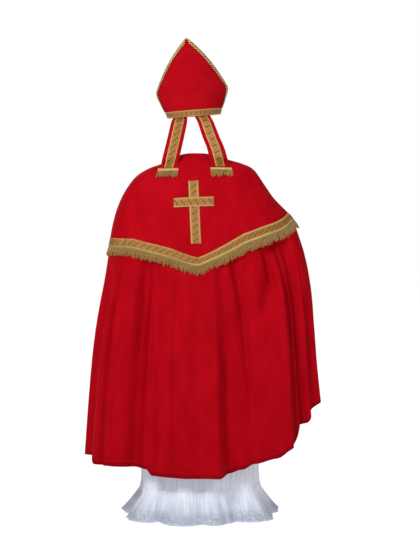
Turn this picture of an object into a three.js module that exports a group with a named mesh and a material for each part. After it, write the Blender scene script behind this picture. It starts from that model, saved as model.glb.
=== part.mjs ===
// Bishop's stage costume: mitre with two lappets, cope, pointed capelet and long alb.
// Millimetres, +Z up. The front faces -Y and the raised right side is at -X.
// The origin lies where the neck meets the shoulders, inside the neckline.
import * as THREE from "three";

// Driving sizes
const FLOOR = -1450; // level of the floor under the hem
const HEM_CLEAR = 0.4; // the lace hangs this far above the floor
const SEAM = 0.3; // gap between neighbouring pieces
const LIE = 1; // gap under a piece that lies on a panel
const SATIN = 1.6; // wall of the cope, the capelet and the lappets
const LINEN = 1.4; // wall of the alb
const FELT = 2; // wall of the stiff mitre panels
const BEHIND = 1000; // a distance behind all of the pieces
const BRAID = 1.2; // thickness of every braid and fringe heading
const BRAID_WIDE = 38; // patterned braid on the capelet, the cross and the lappets
const FRINGE_LONG = 34; // strands below the heading
const UNEVEN = [
  { size: 0.09, pace: 2.4 },
  { size: 0.05, pace: 5.1 },
]; // the strands differ in length by these shares
const HEADING = 5; // height of the heading that holds the strands
const COLUMNS = 60; // columns round the cope
const CAPELET_ROWS = 8; // rows from the neck to the capelet's edge
const LOWER_ROWS = 8; // rows from there to the hem of the cope
const ROWS = CAPELET_ROWS + LOWER_ROWS;
const QUARTER = 90; // degrees
const LIMP = 0.75; // how far a thread end reaches beside its root, against the heading's slot

// Form of the cope on the shoulders, a row for each section from the neck to the hem.
// left, right, back and front are reaches from the axis, each with the level where it is met.
const FORM = [
  { left: 64, leftZ: 38, back: 62, backZ: 44, right: 66, rightZ: 44, front: 62, frontZ: -10 },
  { left: 134, leftZ: 4, back: 96, backZ: 12, right: 146, rightZ: 21, front: 96, frontZ: -52 },
  { left: 187, leftZ: -14, back: 124, backZ: -44, right: 203, rightZ: 5, front: 118, frontZ: -108 },
  { left: 241, leftZ: -48, back: 146, backZ: -112, right: 250, rightZ: -20, front: 134, frontZ: -170 },
  { left: 283, leftZ: -104, back: 158, backZ: -190, right: 288, rightZ: -76, front: 144, frontZ: -240 },
  { left: 313, leftZ: -170, back: 168, backZ: -272, right: 329, rightZ: -150, front: 152, frontZ: -312 },
  { left: 335, leftZ: -244, back: 176, backZ: -356, right: 372, rightZ: -226, front: 158, frontZ: -384 },
  { left: 350, leftZ: -328, back: 185, backZ: -440, right: 412, rightZ: -286, front: 165, frontZ: -458 },
  { left: 371, leftZ: -448, back: 197, backZ: -560, right: 458, rightZ: -380, front: 176, frontZ: -570 },
  { left: 398, leftZ: -590, back: 213, backZ: -710, right: 486, rightZ: -520, front: 192, frontZ: -710 },
  { left: 424, leftZ: -770, back: 233, backZ: -890, right: 502, rightZ: -680, front: 212, frontZ: -890 },
  { left: 442, leftZ: -970, back: 252, backZ: -1075, right: 514, rightZ: -830, front: 232, frontZ: -1060 },
  { left: 455, leftZ: -1202, back: 268, backZ: -1262, right: 530, rightZ: -985, front: 250, frontZ: -1225 },
];
const STRETCH_FROM = 0.5; // share of the length where the cloth starts to stretch to its hem
const LONGEST_CAPELET = 0.9; // share of the length that the capelet never passes
const SIDE_ROUNDING = 0.92; // power on the sine: under 1 squares the section off a little
const BACK_ROUNDING = 0.8; // power on the cosine: a broad back

// Levels round the body, by angle in degrees: 0 is the back, 90 the left, -90 the right.
const CAPELET_EDGE = [
  { at: -180, z: -226 },
  { at: -112, z: -226 },
  { at: -90, z: -238 },
  { at: -66, z: -278 },
  { at: -47, z: -308 },
  { at: -32, z: -337 },
  { at: -16, z: -387 },
  { at: -2, z: -430 },
  { at: 14, z: -395 },
  { at: 25, z: -379 },
  { at: 45, z: -353 },
  { at: 90, z: -344 },
  { at: 130, z: -352 },
  { at: 180, z: -372 },
];
const COPE_HEM = [
  { at: -180, z: -960 },
  { at: -118, z: -960 },
  { at: -85, z: -984 },
  { at: -70, z: -1016 },
  { at: -64, z: -1064 },
  { at: -56, z: -1076 },
  { at: -50, z: -1150 },
  { at: -36, z: -1193 },
  { at: -26, z: -1214 },
  { at: -14, z: -1252 },
  { at: 0, z: -1262 },
  { at: 20, z: -1250 },
  { at: 32, z: -1235 },
  { at: 60, z: -1228 },
  { at: 70, z: -1202 },
  { at: 120, z: -1212 },
  { at: 180, z: -1225 },
];
// The two front edges of the cope, as angles, by row of the cloth
const FRONT_EDGES = [
  { at: 0, left: 177, right: -177 },
  { at: 2, left: 173, right: -168 },
  { at: 5, left: 166, right: -138 },
  { at: CAPELET_ROWS, left: 161, right: -114 },
  { at: ROWS, left: 152, right: -119 },
];
// Where the sleeve lifts the cloth: centre and spread in angle and in share of the length
const SLEEVE_LIFT = { angle: -118, wide: 30, down: 0.54, long: 0.12, rise: 54, push: 40 };

const FOLD_FADE = { in: 3, out: 4 }; // a fold fades in over a third of its length and out over a quarter

// Folds of the cope: angle at the top and at the foot, share of the lower cloth where each one
// starts and ends, depth outward (less than 0 is a trough), half width in degrees.
const COPE_FOLDS = [
  { top: 72, foot: 73, from: 0.1, to: 1.3, depth: -34, half: 7 },
  { top: 60, foot: 63, from: 0.2, to: 1.3, depth: 9, half: 5 },
  { top: 27, foot: 26, from: 0, to: 1.3, depth: -40, half: 8.5 },
  { top: 14, foot: 12, from: 0.35, to: 1.3, depth: 12, half: 10 },
  { top: -7, foot: -9, from: 0.5, to: 1.3, depth: 14, half: 5 },
  { top: -18, foot: -18.5, from: 0.3, to: 1.3, depth: -34, half: 6 },
  { top: -22, foot: -31, from: 0, to: 1, depth: -20, half: 5 },
  { top: -61, foot: -9, from: 0, to: 0.6, depth: -22, half: 5.5 },
  { top: -42, foot: -38, from: 0.5, to: 1.3, depth: 14, half: 8 },
  { top: -61, foot: -60, from: 0, to: 1.3, depth: -50, half: 6 },
  { top: -77, foot: -74, from: 0.35, to: 1.3, depth: -26, half: 5 },
  { top: -98, foot: -98, from: 0.45, to: 1.3, depth: -28, half: 8 },
  { top: 96, foot: 98, from: 0.25, to: 1.3, depth: -30, half: 9 },
  { top: 118, foot: 121, from: 0.1, to: 1.3, depth: -38, half: 8 },
  { top: 143, foot: 140, from: 0.2, to: 1.3, depth: -26, half: 7 },
];
// Folds of the capelet, by share of its length
const CAPELET_FOLDS = [
  { top: 62, foot: 66, from: 0.3, to: 1.4, depth: 7, half: 9 },
  { top: 112, foot: 112, from: 0.4, to: 1.4, depth: 9, half: 9 },
  { top: 146, foot: 145, from: 0.3, to: 1.4, depth: 6, half: 7 },
  { top: -30, foot: -38, from: 0.5, to: 1.4, depth: 5, half: 8 },
  { top: -96, foot: -98, from: 0.5, to: 1.4, depth: 4, half: 6 },
];

// Alb below the shoulders: reaches, and the level at the side and at the back and front
const ALB = [
  { left: 212, right: 222, back: 139, front: 128, sideZ: -112, backZ: -188 },
  { left: 202, right: 212, back: 137, front: 126, sideZ: -170, backZ: -226 },
  { left: 196, right: 206, back: 133, front: 121, sideZ: -226, backZ: -262 },
  { left: 196, right: 208, back: 126, front: 114, sideZ: -340, backZ: -345 },
  { left: 200, right: 216, back: 126, front: 116, sideZ: -480, backZ: -480 },
  { left: 208, right: 234, back: 142, front: 134, sideZ: -720, backZ: -720 },
  { left: 212, right: 252, back: 166, front: 160, sideZ: -980, backZ: -980 },
  { left: 214, right: 264, back: 184, front: 180, sideZ: -1200, backZ: -1200 },
  { left: 218, right: 272, back: 196, front: 192, sideZ: -1332, backZ: -1332 },
  { left: 220, right: 276, back: 199, front: 195, sideZ: -1346, backZ: -1346 },
];
const SHOULDER_ROWS = 4; // rows of the alb that lie under the cope
const UNDER_COPE = [SEAM, 2.5, 5, 8]; // how far each of these rows lies inside the cope
const ARMHOLE = [0, 24, 29, 0]; // cut back from the side seam, degrees, from the last shoulder row down
const SMOOTH_ROWS = 2; // rows of its own table that hang without folds
const ALB_COLUMNS = 24; // columns of one alb panel
const ALB_FOLDS = [
  { at: 8, depth: 15, half: 8 },
  { at: 30, depth: -17, half: 7 },
  { at: 52, depth: 13, half: 9 },
  { at: 78, depth: -12, half: 7 },
  { at: 101, depth: 12, half: 8 },
  { at: 127, depth: -16, half: 8 },
  { at: 152, depth: 14, half: 8 },
  { at: 178, depth: -13, half: 7 },
  { at: 203, depth: 15, half: 9 },
  { at: 229, depth: -14, half: 8 },
  { at: 255, depth: 12, half: 8 },
  { at: 281, depth: -11, half: 7 },
  { at: 305, depth: 14, half: 8 },
  { at: 328, depth: -18, half: 7 },
  { at: 347, depth: 11, half: 6 },
];
// Lace flounce: share of the way from the panel's end to the floor, spread outward, ruffle depth.
// Its first row is sewn on at the panel's last row but one.
const LACE = [
  { down: 0, spread: 0, ruffle: 0 },
  { down: 0.02, spread: 3, ruffle: 0.8 },
  { down: 0.45, spread: 24, ruffle: 2.8 },
  { down: 0.8, spread: 48, ruffle: 4.5 },
  { down: 1, spread: 66, ruffle: 6 },
];
const RUFFLE_CHANGE = { size: 0.25, pace: 1.7 }; // no two ruffles are the same

// Sleeves: centres and radii of the rings after the armhole
const LEFT_SLEEVE = [
  { x: 256, y: -2, z: -205, r: 53 },
  { x: 268, y: 4, z: -278, r: 51 },
  { x: 273, y: 2, z: -354, r: 50 },
  { x: 268, y: -20, z: -436, r: 50 },
  { x: 257, y: -50, z: -510, r: 50 },
  { x: 254, y: -57, z: -524, r: 50 },
];
const RIGHT_SLEEVE = [
  { x: -260, y: 4, z: -192, r: 56 },
  { x: -296, y: 18, z: -250, r: 52 },
  { x: -332, y: 8, z: -300, r: 49 },
  { x: -354, y: -42, z: -316, r: 46 },
  { x: -371, y: -92, z: -304, r: 44 },
  { x: -397, y: -136, z: -281, r: 44 },
  { x: -405, y: -149, z: -274, r: 44 },
];
const RING = 12; // points round a sleeve
const ARMHOLE_TOP = 0.9; // how far a sleeve stands off the armhole at the shoulder
const ARMHOLE_EASE = 6; // and round the rest of it

// Mitre, by height above the band's lower edge: half width, side edge and crown of one panel, and
// how many degrees it turns from its middle to its side edge
const MITRE = [
  { up: 0, half: 111, edge: 0.6, crown: 100, turn: 88 },
  { up: 27, half: 120, edge: 0.6, crown: 99, turn: 86 },
  { up: 62, half: 135, edge: 0.6, crown: 94, turn: 80 },
  { up: 103, half: 148, edge: 1.4, crown: 86, turn: 70 },
  { up: 133, half: 137, edge: 12, crown: 71, turn: 64 },
  { up: 174, half: 114, edge: 29, crown: 50, turn: 60 },
  { up: 217, half: 87, edge: 44, crown: 32, turn: 58 },
  { up: 262, half: 53, edge: 56, crown: 16, turn: 56 },
  { up: 300, half: 19, edge: 64, crown: 5, turn: 55 },
  { up: 316, half: 3, edge: 67, crown: 1, turn: 55 },
];
const MITRE_PLACE = { x: 0, y: -12, z: 209 };
const MITRE_TURN = { back: 8, roll: 4.6, turn: -4.5 }; // degrees: leans back, leans left, turns
const MITRE_COLUMNS = 10; // columns between the two edge braids
const TIP = 0.2; // the last fifth of a row below the point keeps one width of braid
const NARROWEST = 0.1; // least share of a row that the felt keeps between its two braids
const BAND_TOP = 0.04; // the band stops short of the first row by this share
const BAND_LIE = 0.5; // gap under the band round the opening
const MITRE_BAND = 27; // width of the braid round the head opening
const EDGE_BRAID = 16; // width of the braid along the two points

// Lappets: centre, half width and level of each row, free below the mitre and then on the capelet
const LAPPETS = {
  left: {
    top: 56,
    free: [
      { x: 60, y: 97, z: 168, half: 33 },
      { x: 72, y: 103, z: 112, half: 34 },
      { x: 84, y: 106, z: 60, half: 34.5 },
      { x: 94, y: 107, z: 18, half: 35 },
    ],
    laid: [
      { x: 99, z: -4, half: 35 },
      { x: 103, z: -19, half: 35 },
    ],
    heading: [
      { x: 104, z: -22, half: 42 },
      { x: 105, z: -32, half: 43 },
    ],
  },
  right: {
    top: -44,
    free: [
      { x: -50, y: 97, z: 168, half: 33 },
      { x: -70, y: 103, z: 112, half: 35 },
      { x: -89, y: 106, z: 66, half: 36 },
      { x: -101, y: 107, z: 24, half: 37 },
    ],
    laid: [
      { x: -106, z: 4, half: 38 },
      { x: -110, z: -14, half: 38 },
    ],
    heading: [
      { x: -112, z: -18, half: 44 },
      { x: -114, z: -28, half: 45 },
    ],
  },
};
const LAPPET_FRINGE = 36; // strands below a lappet's heading
const LAPPET_SLOTS = 11; // slots of the heading on each half of a lappet, every other one a strand
const LAPPET_HALF = 33; // half width of a lappet where it leaves the mitre
const LAPPET_BOW = 3; // how far its sides curl back
const LAPPET_LIE = 2.1; // gap under its end, on the curved shoulder
const HEADING_LIE = 1.65; // gap under the heading of its fringe
const LAPPET_SAG = 16; // how far its sides sink below its middle there
const INNER_EASE = 2.1; // room for the flat facets of the panel
const TUCK = 18; // length tucked up inside the opening
const TUCK_LIE = 2 * LIE + BRAID; // room for its braid between it and the panel there
const CAPELET_STRANDS = 2; // strands below each column of the capelet

// Cross on the back of the capelet: ends of the two bars and their width
const CROSS = {
  upright: { x1: 1, z1: -75, x2: -11, z2: -333, rows: 12, wide: 40, lift: 1.1 },
  bar: { x1: 80, z1: -167, x2: -83, z2: -160, rows: 9, wide: 38, lift: 3.2 },
};

const SOLVE_STEPS = 40;
const NEAR = { angle: 0.5, share: 0.01, place: 0.1 }; // short steps that give a direction

const radians = (degrees) => (degrees * Math.PI) / 180;
const mix = (a, b, share) => a + (b - a) * share;
const soft = (x) => {
  const s = Math.min(1, Math.max(0, x));
  return s * s * (3 - 2 * s);
};

// A smooth value of one column of a table, at a place counted in rows
function column(table, name, place) {
  const last = table.length - 1;
  const i = Math.min(last - 1, Math.max(0, Math.floor(place)));
  const s = place - i;
  const at = (k) => table[Math.min(last, Math.max(0, k))][name];
  const [a, b, c, d] = [at(i - 1), at(i), at(i + 1), at(i + 2)];
  return b + 0.5 * s * (c - a + s * (2 * a - 5 * b + 4 * c - d + s * (3 * (b - c) + d - a)));
}

// A value between the rows of a table whose column "at" rises, eased unless it is straight
function between(table, name, at, straight = false) {
  let k = 0;
  while (k < table.length - 2 && at > table[k + 1].at) k += 1;
  const [a, b] = [table[k], table[k + 1]];
  const share = (at - a.at) / (b.at - a.at);
  return mix(a[name], b[name], straight ? share : soft(share));
}

// The value of x in a range where a falling function meets a target
function solve(falling, target, low, high) {
  for (let k = 0; k < SOLVE_STEPS; k += 1) {
    const middle = (low + high) / 2;
    if (falling(middle) > target) low = middle;
    else high = middle;
  }
  return (low + high) / 2;
}

// A point of an oval section with its own reach to each side
function oval(angle, reach) {
  const across = Math.sin(radians(angle));
  const along = Math.cos(radians(angle));
  const x = (across > 0 ? reach.left : reach.right) * Math.sign(across);
  const y = (along > 0 ? reach.back : reach.front) * Math.sign(along);
  return {
    x: x * Math.abs(across) ** SIDE_ROUNDING,
    y: y * Math.abs(along) ** BACK_ROUNDING,
    side: across * across,
  };
}

// How near a place of the form is to the sleeve that lifts it, from 0 to 1
function lifted(angle, share) {
  const aside = (angle - SLEEVE_LIFT.angle) / SLEEVE_LIFT.wide;
  const away = (share - SLEEVE_LIFT.down) / SLEEVE_LIFT.long;
  return Math.exp(-aside * aside - away * away);
}

// Level of the form at an angle, at a share of its length
function formLevel(angle, share) {
  const place = share * (FORM.length - 1);
  const side = Math.sin(radians(angle)) ** 2;
  const leftward = Math.sin(radians(angle)) > 0;
  const backward = Math.cos(radians(angle)) > 0;
  const sideZ = column(FORM, leftward ? "leftZ" : "rightZ", place);
  const endZ = column(FORM, backward ? "backZ" : "frontZ", place);
  return mix(endZ, sideZ, side) + SLEEVE_LIFT.rise * lifted(angle, share);
}

// A point of the form; the part below the capelet is stretched to meet the hem
function formPoint(angle, share) {
  const place = share * (FORM.length - 1);
  const reach = {};
  for (const name of ["left", "right", "back", "front"]) reach[name] = column(FORM, name, place);
  const { x, y } = oval(angle, reach);
  const stretch = between(COPE_HEM, "z", angle) - formLevel(angle, 1);
  const out = x - SLEEVE_LIFT.push * lifted(angle, share);
  const low = soft((share - STRETCH_FROM) / (1 - STRETCH_FROM));
  return new THREE.Vector3(out, y, formLevel(angle, share) + stretch * low);
}

// Share of the length at the capelet's edge, and at a row of the cloth
function edgeShare(angle) {
  const level = between(CAPELET_EDGE, "z", angle, true);
  return solve((share) => formPoint(angle, share).z, level, 0, LONGEST_CAPELET);
}

function rowShare(row, angle) {
  const edge = edgeShare(angle);
  if (row > CAPELET_ROWS) return mix(edge, 1, (row - CAPELET_ROWS) / LOWER_ROWS);
  if (row === CAPELET_ROWS) return edge;
  const above = formPoint(angle, edge - NEAR.share);
  const pace = formPoint(angle, edge).distanceTo(above) / NEAR.share;
  return ((edge - (BRAID_WIDE + HEADING) / pace) * row) / (CAPELET_ROWS - 1);
}

// How far a list of folds moves a point outward; down runs from 0 to 1 along the cloth
function foldDepth(folds, angle, down) {
  let depth = 0;
  for (const fold of folds) {
    const share = (down - fold.from) / (fold.to - fold.from);
    if (share <= 0 || share >= 1) continue;
    const centre = mix(fold.top, fold.foot, down);
    const fade = soft(share * FOLD_FADE.in) * soft((1 - share) * FOLD_FADE.out);
    depth += fold.depth * fade * Math.exp(-(((angle - centre) / fold.half) ** 2));
  }
  return depth;
}

// Outward directions of a grid, from its neighbours; a ring joins its last column to its first
function normals(grid, ring) {
  const rows = grid.length;
  const columns = grid[0].length;
  return grid.map((line, i) =>
    line.map((_, j) => {
      const before = ring ? (j + columns - 1) % columns : Math.max(0, j - 1);
      const after = ring ? (j + 1) % columns : Math.min(columns - 1, j + 1);
      const across = line[after].clone().sub(line[before]);
      const down = grid[Math.min(rows - 1, i + 1)][j].clone().sub(grid[Math.max(0, i - 1)][j]);
      return across.cross(down).normalize();
    }),
  );
}

// The grid moved outward by one distance, or by a distance for each row and column
function moved(grid, distance, ring = false) {
  const out = normals(grid, ring);
  return grid.map((line, i) =>
    line.map((point, j) => {
      const far = typeof distance === "function" ? distance(i, j) : distance;
      return point.clone().addScaledVector(out[i][j], far);
    }),
  );
}

// A list of triangles that closes into one solid
class Skin {
  constructor() {
    this.corners = [];
  }
  triangle(a, b, c) {
    this.corners.push(a, b, c);
  }
  quad(a, b, c, d, slant = false) {
    this.triangle(a, b, slant ? c : d);
    this.triangle(slant ? a : b, c, d);
  }
  geometry() {
    const made = new THREE.BufferGeometry().setFromPoints(this.corners);
    made.computeVertexNormals();
    return made;
  }
}

// A wall between an outer and an inner grid. teeth(j) gives the two tip points of a strand
// that grows from the lower rim of column j, or nothing. slant cuts each cell the other way.
function wall(outer, inner, { ring = false, slant = false, teeth = () => null } = {}) {
  const skin = new Skin();
  const last = outer.length - 1;
  const columns = outer[0].length;
  const cells = ring ? columns : columns - 1;
  for (let j = 0; j < cells; j += 1) {
    const k = (j + 1) % columns;
    for (let i = 0; i < last; i += 1) {
      skin.quad(outer[i][j], outer[i][k], outer[i + 1][k], outer[i + 1][j], slant);
      skin.quad(inner[i][j], inner[i + 1][j], inner[i + 1][k], inner[i][k], slant);
    }
    skin.quad(outer[0][k], outer[0][j], inner[0][j], inner[0][k]);
    const foot = [outer[last][j], outer[last][k], inner[last][k], inner[last][j]];
    const tips = teeth(j);
    if (!tips) {
      skin.quad(...foot);
      continue;
    }
    skin.quad(foot[0], foot[1], tips[1], tips[0]);
    skin.quad(foot[2], foot[3], tips[0], tips[1]);
    skin.triangle(foot[3], foot[0], tips[0]);
    skin.triangle(foot[1], foot[2], tips[1]);
  }
  for (let i = 0; i < last && !ring; i += 1) {
    skin.quad(outer[i][0], outer[i + 1][0], inner[i + 1][0], inner[i][0]);
    skin.quad(outer[i + 1][cells], outer[i][cells], inner[i][cells], inner[i + 1][cells]);
  }
  return skin.geometry();
}

const FINISH = {
  red_satin: { color: 0xb80a18, roughness: 0.55, metalness: 0 },
  red_felt: { color: 0xb50f1e, roughness: 0.9, metalness: 0 },
  white_cloth: { color: 0xd5dae5, roughness: 0.85, metalness: 0 },
  gold_braid: { color: 0xb8903f, roughness: 0.5, metalness: 0.3 },
};
const costume = new THREE.Group();

function piece(name, finish, geometry) {
  const mesh = new THREE.Mesh(geometry, new THREE.MeshStandardMaterial(FINISH[finish]));
  mesh.name = name;
  costume.add(mesh);
  return mesh;
}

// The form as a grid: one line of points for each row, from the right front edge to the left
const angleAt = (row, j) =>
  mix(between(FRONT_EDGES, "right", row), between(FRONT_EDGES, "left", row), j / COLUMNS);
const form = [];
for (let row = 0; row <= ROWS; row += 1) {
  form.push([]);
  for (let j = 0; j <= COLUMNS; j += 1) {
    const angle = angleAt(row, j);
    form[row].push(formPoint(angle, rowShare(row, angle)));
  }
}

// Two halves that meet at a seam down the back
function buildCope() {
  const folded = moved(form, (row, j) => {
    const down = (row - CAPELET_ROWS + 1) / (LOWER_ROWS + 1);
    const depth = foldDepth(COPE_FOLDS, angleAt(row, j), down);
    return row <= CAPELET_ROWS ? Math.min(0, depth) : depth;
  });
  const inside = moved(folded, -SATIN);
  for (const [name, from, seam] of [["cope_right", 0, COLUMNS / 2], ["cope_left", COLUMNS / 2, 0]]) {
    const half = (grid) =>
      grid.map((line) => {
        const cut = line.slice(from, from + COLUMNS / 2 + 1);
        const next = cut[seam ? seam - 1 : 1];
        const away = next.clone().sub(cut[seam]).setLength(SEAM / 2);
        cut[seam] = cut[seam].clone().add(away);
        return cut;
      });
    piece(name, "red_satin", wall(half(folded), half(inside)));
  }
}

// The capelet leaves one column of the cope in sight at each front edge
const capeletForm = form.slice(0, CAPELET_ROWS + 1).map((line) => line.slice(1, COLUMNS));
const capeletOut = moved(
  capeletForm,
  (row, j) =>
    SEAM + SATIN + Math.max(0, foldDepth(CAPELET_FOLDS, angleAt(row, j + 1), row / CAPELET_ROWS)),
);

function buildCapelet() {
  return piece("capelet", "red_satin", wall(capeletOut, moved(capeletOut, -SATIN)));
}

// A strip that lies on the last row of a grid, between two shares of that row's height
function edgeStrip(grid, high, low) {
  const last = grid.length - 1;
  const out = normals(grid, false);
  const line = (share, distance) =>
    grid[last].map((point, j) => {
      const away = out[last][j].clone().lerp(out[last - 1][j], share).normalize();
      return point.clone().lerp(grid[last - 1][j], share).addScaledVector(away, distance);
    });
  const strip = (distance) => [line(high, distance), line(low, distance)];
  return { outer: strip(LIE + BRAID), inner: strip(LIE) };
}

// A heading with strands: every other slot between two points of its lower rim holds a strand
function fringe(outer, inner, slots, long) {
  const spread = (grid) =>
    grid.map((line) => {
      const fine = [];
      for (let j = 0; j < line.length - 1; j += 1)
        for (let k = 0; k < slots; k += 1) fine.push(line[j].clone().lerp(line[j + 1], k / slots));
      fine.push(line[line.length - 1].clone());
      return fine;
    });
  const [out, back] = [spread(outer), spread(inner)];
  const teeth = (j) => {
    if (j % 2) return null;
    const foot = [out[1][j], out[1][j + 1], back[1][j + 1], back[1][j]];
    const centre = foot[0].clone().add(foot[1]).add(foot[2]).add(foot[3]).multiplyScalar(0.25);
    const down = out[1][j].clone().sub(out[0][j]).normalize();
    let uneven = 1;
    for (const { size, pace } of UNEVEN) uneven += size * Math.sin(j * pace);
    const tip = centre.addScaledVector(down, long * uneven);
    const half = foot[1].clone().sub(foot[0]).multiplyScalar(LIMP / 2);
    return [tip.clone().sub(half), tip.clone().add(half)];
  };
  return wall(out, back, { teeth });
}

function buildCapeletTrim() {
  const tall = BRAID_WIDE + HEADING;
  const band = edgeStrip(capeletOut, 1, (HEADING + SEAM) / tall);
  piece("capelet_braid", "gold_braid", wall(band.outer, band.inner));
  const heading = edgeStrip(capeletOut, HEADING / tall, 0);
  const strands = fringe(heading.outer, heading.inner, 2 * CAPELET_STRANDS, FRINGE_LONG);
  piece("capelet_fringe", "gold_braid", strands);
}

// The point of the faceted capelet at a place on the back, if there is one
function placeOn(mesh, x, z) {
  const ray = new THREE.Raycaster(new THREE.Vector3(x, BEHIND, z), new THREE.Vector3(0, -1, 0));
  return ray.intersectObject(mesh)[0]?.point;
}

function buildCross(capelet) {
  const bars = { cross_upright: CROSS.upright, cross_bar: CROSS.bar };
  for (const [name, bar] of Object.entries(bars)) {
    const long = new THREE.Vector2(bar.x2 - bar.x1, bar.z2 - bar.z1);
    const aside = new THREE.Vector2(-long.y, long.x).setLength(bar.wide / 2);
    const grid = [];
    for (let i = 0; i <= bar.rows; i += 1) {
      grid.push([]);
      for (const k of [1, 0, -1]) {
        const x = mix(bar.x1, bar.x2, i / bar.rows) - k * aside.x;
        const z = mix(bar.z1, bar.z2, i / bar.rows) - k * aside.y;
        grid[i].push(placeOn(capelet, x, z));
      }
    }
    const outer = moved(grid, bar.lift + BRAID);
    piece(name, "gold_braid", wall(outer, moved(grid, bar.lift)));
  }
}

// Alb: its shoulder rows lie under the cope, and the rows below follow its own table
function albPoint(row, angle) {
  const turned = angle > 180 ? angle - 360 : angle;
  if (row < SHOULDER_ROWS) {
    const share = rowShare(row, turned);
    const at = (a, s) => formPoint(a > 180 ? a - 360 : a, s);
    const across = at(turned + NEAR.angle, share).sub(at(turned - NEAR.angle, share));
    const above = at(turned, Math.max(0, share - NEAR.share));
    const down = at(turned, share + NEAR.share).sub(above);
    const inward = across.cross(down).normalize().negate();
    return at(turned, share).addScaledVector(inward, SATIN + UNDER_COPE[row]);
  }
  const section = ALB[row - SHOULDER_ROWS];
  const { x, y, side } = oval(turned, section);
  return new THREE.Vector3(x, y, mix(section.backZ, section.sideZ, side));
}

function albFold(row, angle) {
  const reach = soft((row - SHOULDER_ROWS - SMOOTH_ROWS) / (ALB.length - SMOOTH_ROWS - 1));
  const turned = (angle + 360) % 360;
  let depth = 0;
  for (const fold of ALB_FOLDS) {
    const apart = Math.abs(turned - fold.at);
    const near = Math.min(apart, 360 - apart);
    depth += fold.depth * Math.exp(-((near / fold.half) ** 2));
  }
  return depth * reach;
}

const ALB_ROWS = SHOULDER_ROWS + ALB.length;
const armholeCut = (row) => ARMHOLE[row - SHOULDER_ROWS + 1] ?? 0;

// One panel round the given middle angle, 180 degrees wide but for the armholes
function albPanel(middle) {
  const grid = [];
  for (let row = 0; row < ALB_ROWS; row += 1) {
    const half = QUARTER - (row >= SHOULDER_ROWS - 1 ? armholeCut(row) : 0);
    grid.push([]);
    for (let j = 0; j <= ALB_COLUMNS; j += 1) {
      const angle = middle + mix(-half, half, j / ALB_COLUMNS);
      const point = albPoint(row, angle);
      if (half === QUARTER) point.y += (SEAM / 2) * Math.cos(radians(middle));
      grid[row].push(point);
    }
  }
  const angles = (j) => middle + mix(-QUARTER, QUARTER, j / ALB_COLUMNS);
  return moved(grid, (row, j) => albFold(row, angles(j)));
}

const albBack = albPanel(0);
const albFront = albPanel(180);

function buildAlb() {
  piece("alb_back", "white_cloth", wall(albBack, moved(albBack, -LINEN)));
  piece("alb_front", "white_cloth", wall(albFront, moved(albFront, -LINEN)));
}

// The lace is sewn on round the lower end of both panels, and ruffles out to the floor
function buildLace() {
  const around = (row) => [...albBack[row].slice(0, -1), ...albFront[row].slice(0, -1)];
  const end = around(ALB_ROWS - 1);
  const above = around(ALB_ROWS - 2);
  const out = normals([above, end], true)[1];
  const grid = LACE.map(({ down, spread, ruffle }, row) =>
    (row ? end : above).map((point, j) => {
      const change = 1 + RUFFLE_CHANGE.size * Math.sin(j * RUFFLE_CHANGE.pace);
      const wave = (j % 2 ? -1 : 1) * ruffle * change;
      const reach = SEAM + LINEN + spread + ruffle + wave;
      const flat = new THREE.Vector3(out[j].x, out[j].y, 0).normalize();
      const lace = point.clone().addScaledVector(flat, reach);
      lace.z = point.z - down * (point.z - FLOOR - HEM_CLEAR);
      return lace;
    }),
  );
  const inner = moved(grid, -LINEN, true);
  for (const point of inner[inner.length - 1]) point.z = FLOOR + HEM_CLEAR;
  piece("alb_lace", "white_cloth", wall(grid, inner, { ring: true }));
}

// A sleeve from the armhole's edge along its rings. side is 1 on the left and -1 on the right.
function sleeve(side, rings) {
  const top = SHOULDER_ROWS - 1;
  const grid = [[]];
  const [forward, backward] = side > 0 ? [0, ALB_COLUMNS] : [ALB_COLUMNS, 0];
  const edge = [
    albBack[top][backward],
    albFront[top + 1][forward],
    albFront[top + 2][forward],
    albBack[top + 3][backward],
    albBack[top + 2][backward],
    albBack[top + 1][backward],
  ];
  edge.forEach((point, k) => {
    const next = edge[(k + 1) % edge.length];
    for (const place of [point.clone(), point.clone().lerp(next, 0.5)]) {
      place.x += side * (grid[0].length ? ARMHOLE_EASE : ARMHOLE_TOP);
      grid[0].push(place);
    }
  });
  const back = new THREE.Vector3(0, 1, 0);
  rings.forEach((ring, i) => {
    const before = rings[Math.max(0, i - 1)];
    const after = rings[Math.min(rings.length - 1, i + 1)];
    const along = new THREE.Vector3(after.x - before.x, after.y - before.y, after.z - before.z);
    along.normalize();
    back.addScaledVector(along, -along.dot(back)).normalize();
    const up = new THREE.Vector3().crossVectors(back, along).multiplyScalar(-side).normalize();
    grid.push([]);
    for (let k = 0; k < RING; k += 1) {
      const turn = (2 * Math.PI * k) / RING;
      const point = new THREE.Vector3(ring.x, ring.y, ring.z);
      point.addScaledVector(up, ring.r * Math.cos(turn));
      point.addScaledVector(back, -side * ring.r * Math.sin(turn));
      grid[i + 1].push(point);
    }
  });
  return grid;
}

function buildSleeve(name, side, rings) {
  const grid = sleeve(side, rings);
  piece("alb_sleeve_" + name, "white_cloth", wall(grid, moved(grid, -LINEN, true), { ring: true }));
  const cuff = grid.slice(-2);
  const outer = moved(cuff, SEAM + BRAID, true);
  const ringed = wall(outer, moved(cuff, SEAM, true), { ring: true });
  piece("cuff_braid_" + name, "gold_braid", ringed);
}

// Mitre: a panel is a curved sheet from the head opening to its point
const mitreFrame = new THREE.Matrix4()
  .makeTranslation(MITRE_PLACE.x, MITRE_PLACE.y, MITRE_PLACE.z)
  .multiply(new THREE.Matrix4().makeRotationY(radians(MITRE_TURN.roll)))
  .multiply(new THREE.Matrix4().makeRotationX(radians(-MITRE_TURN.back)))
  .multiply(new THREE.Matrix4().makeRotationZ(radians(MITRE_TURN.turn)));

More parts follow.
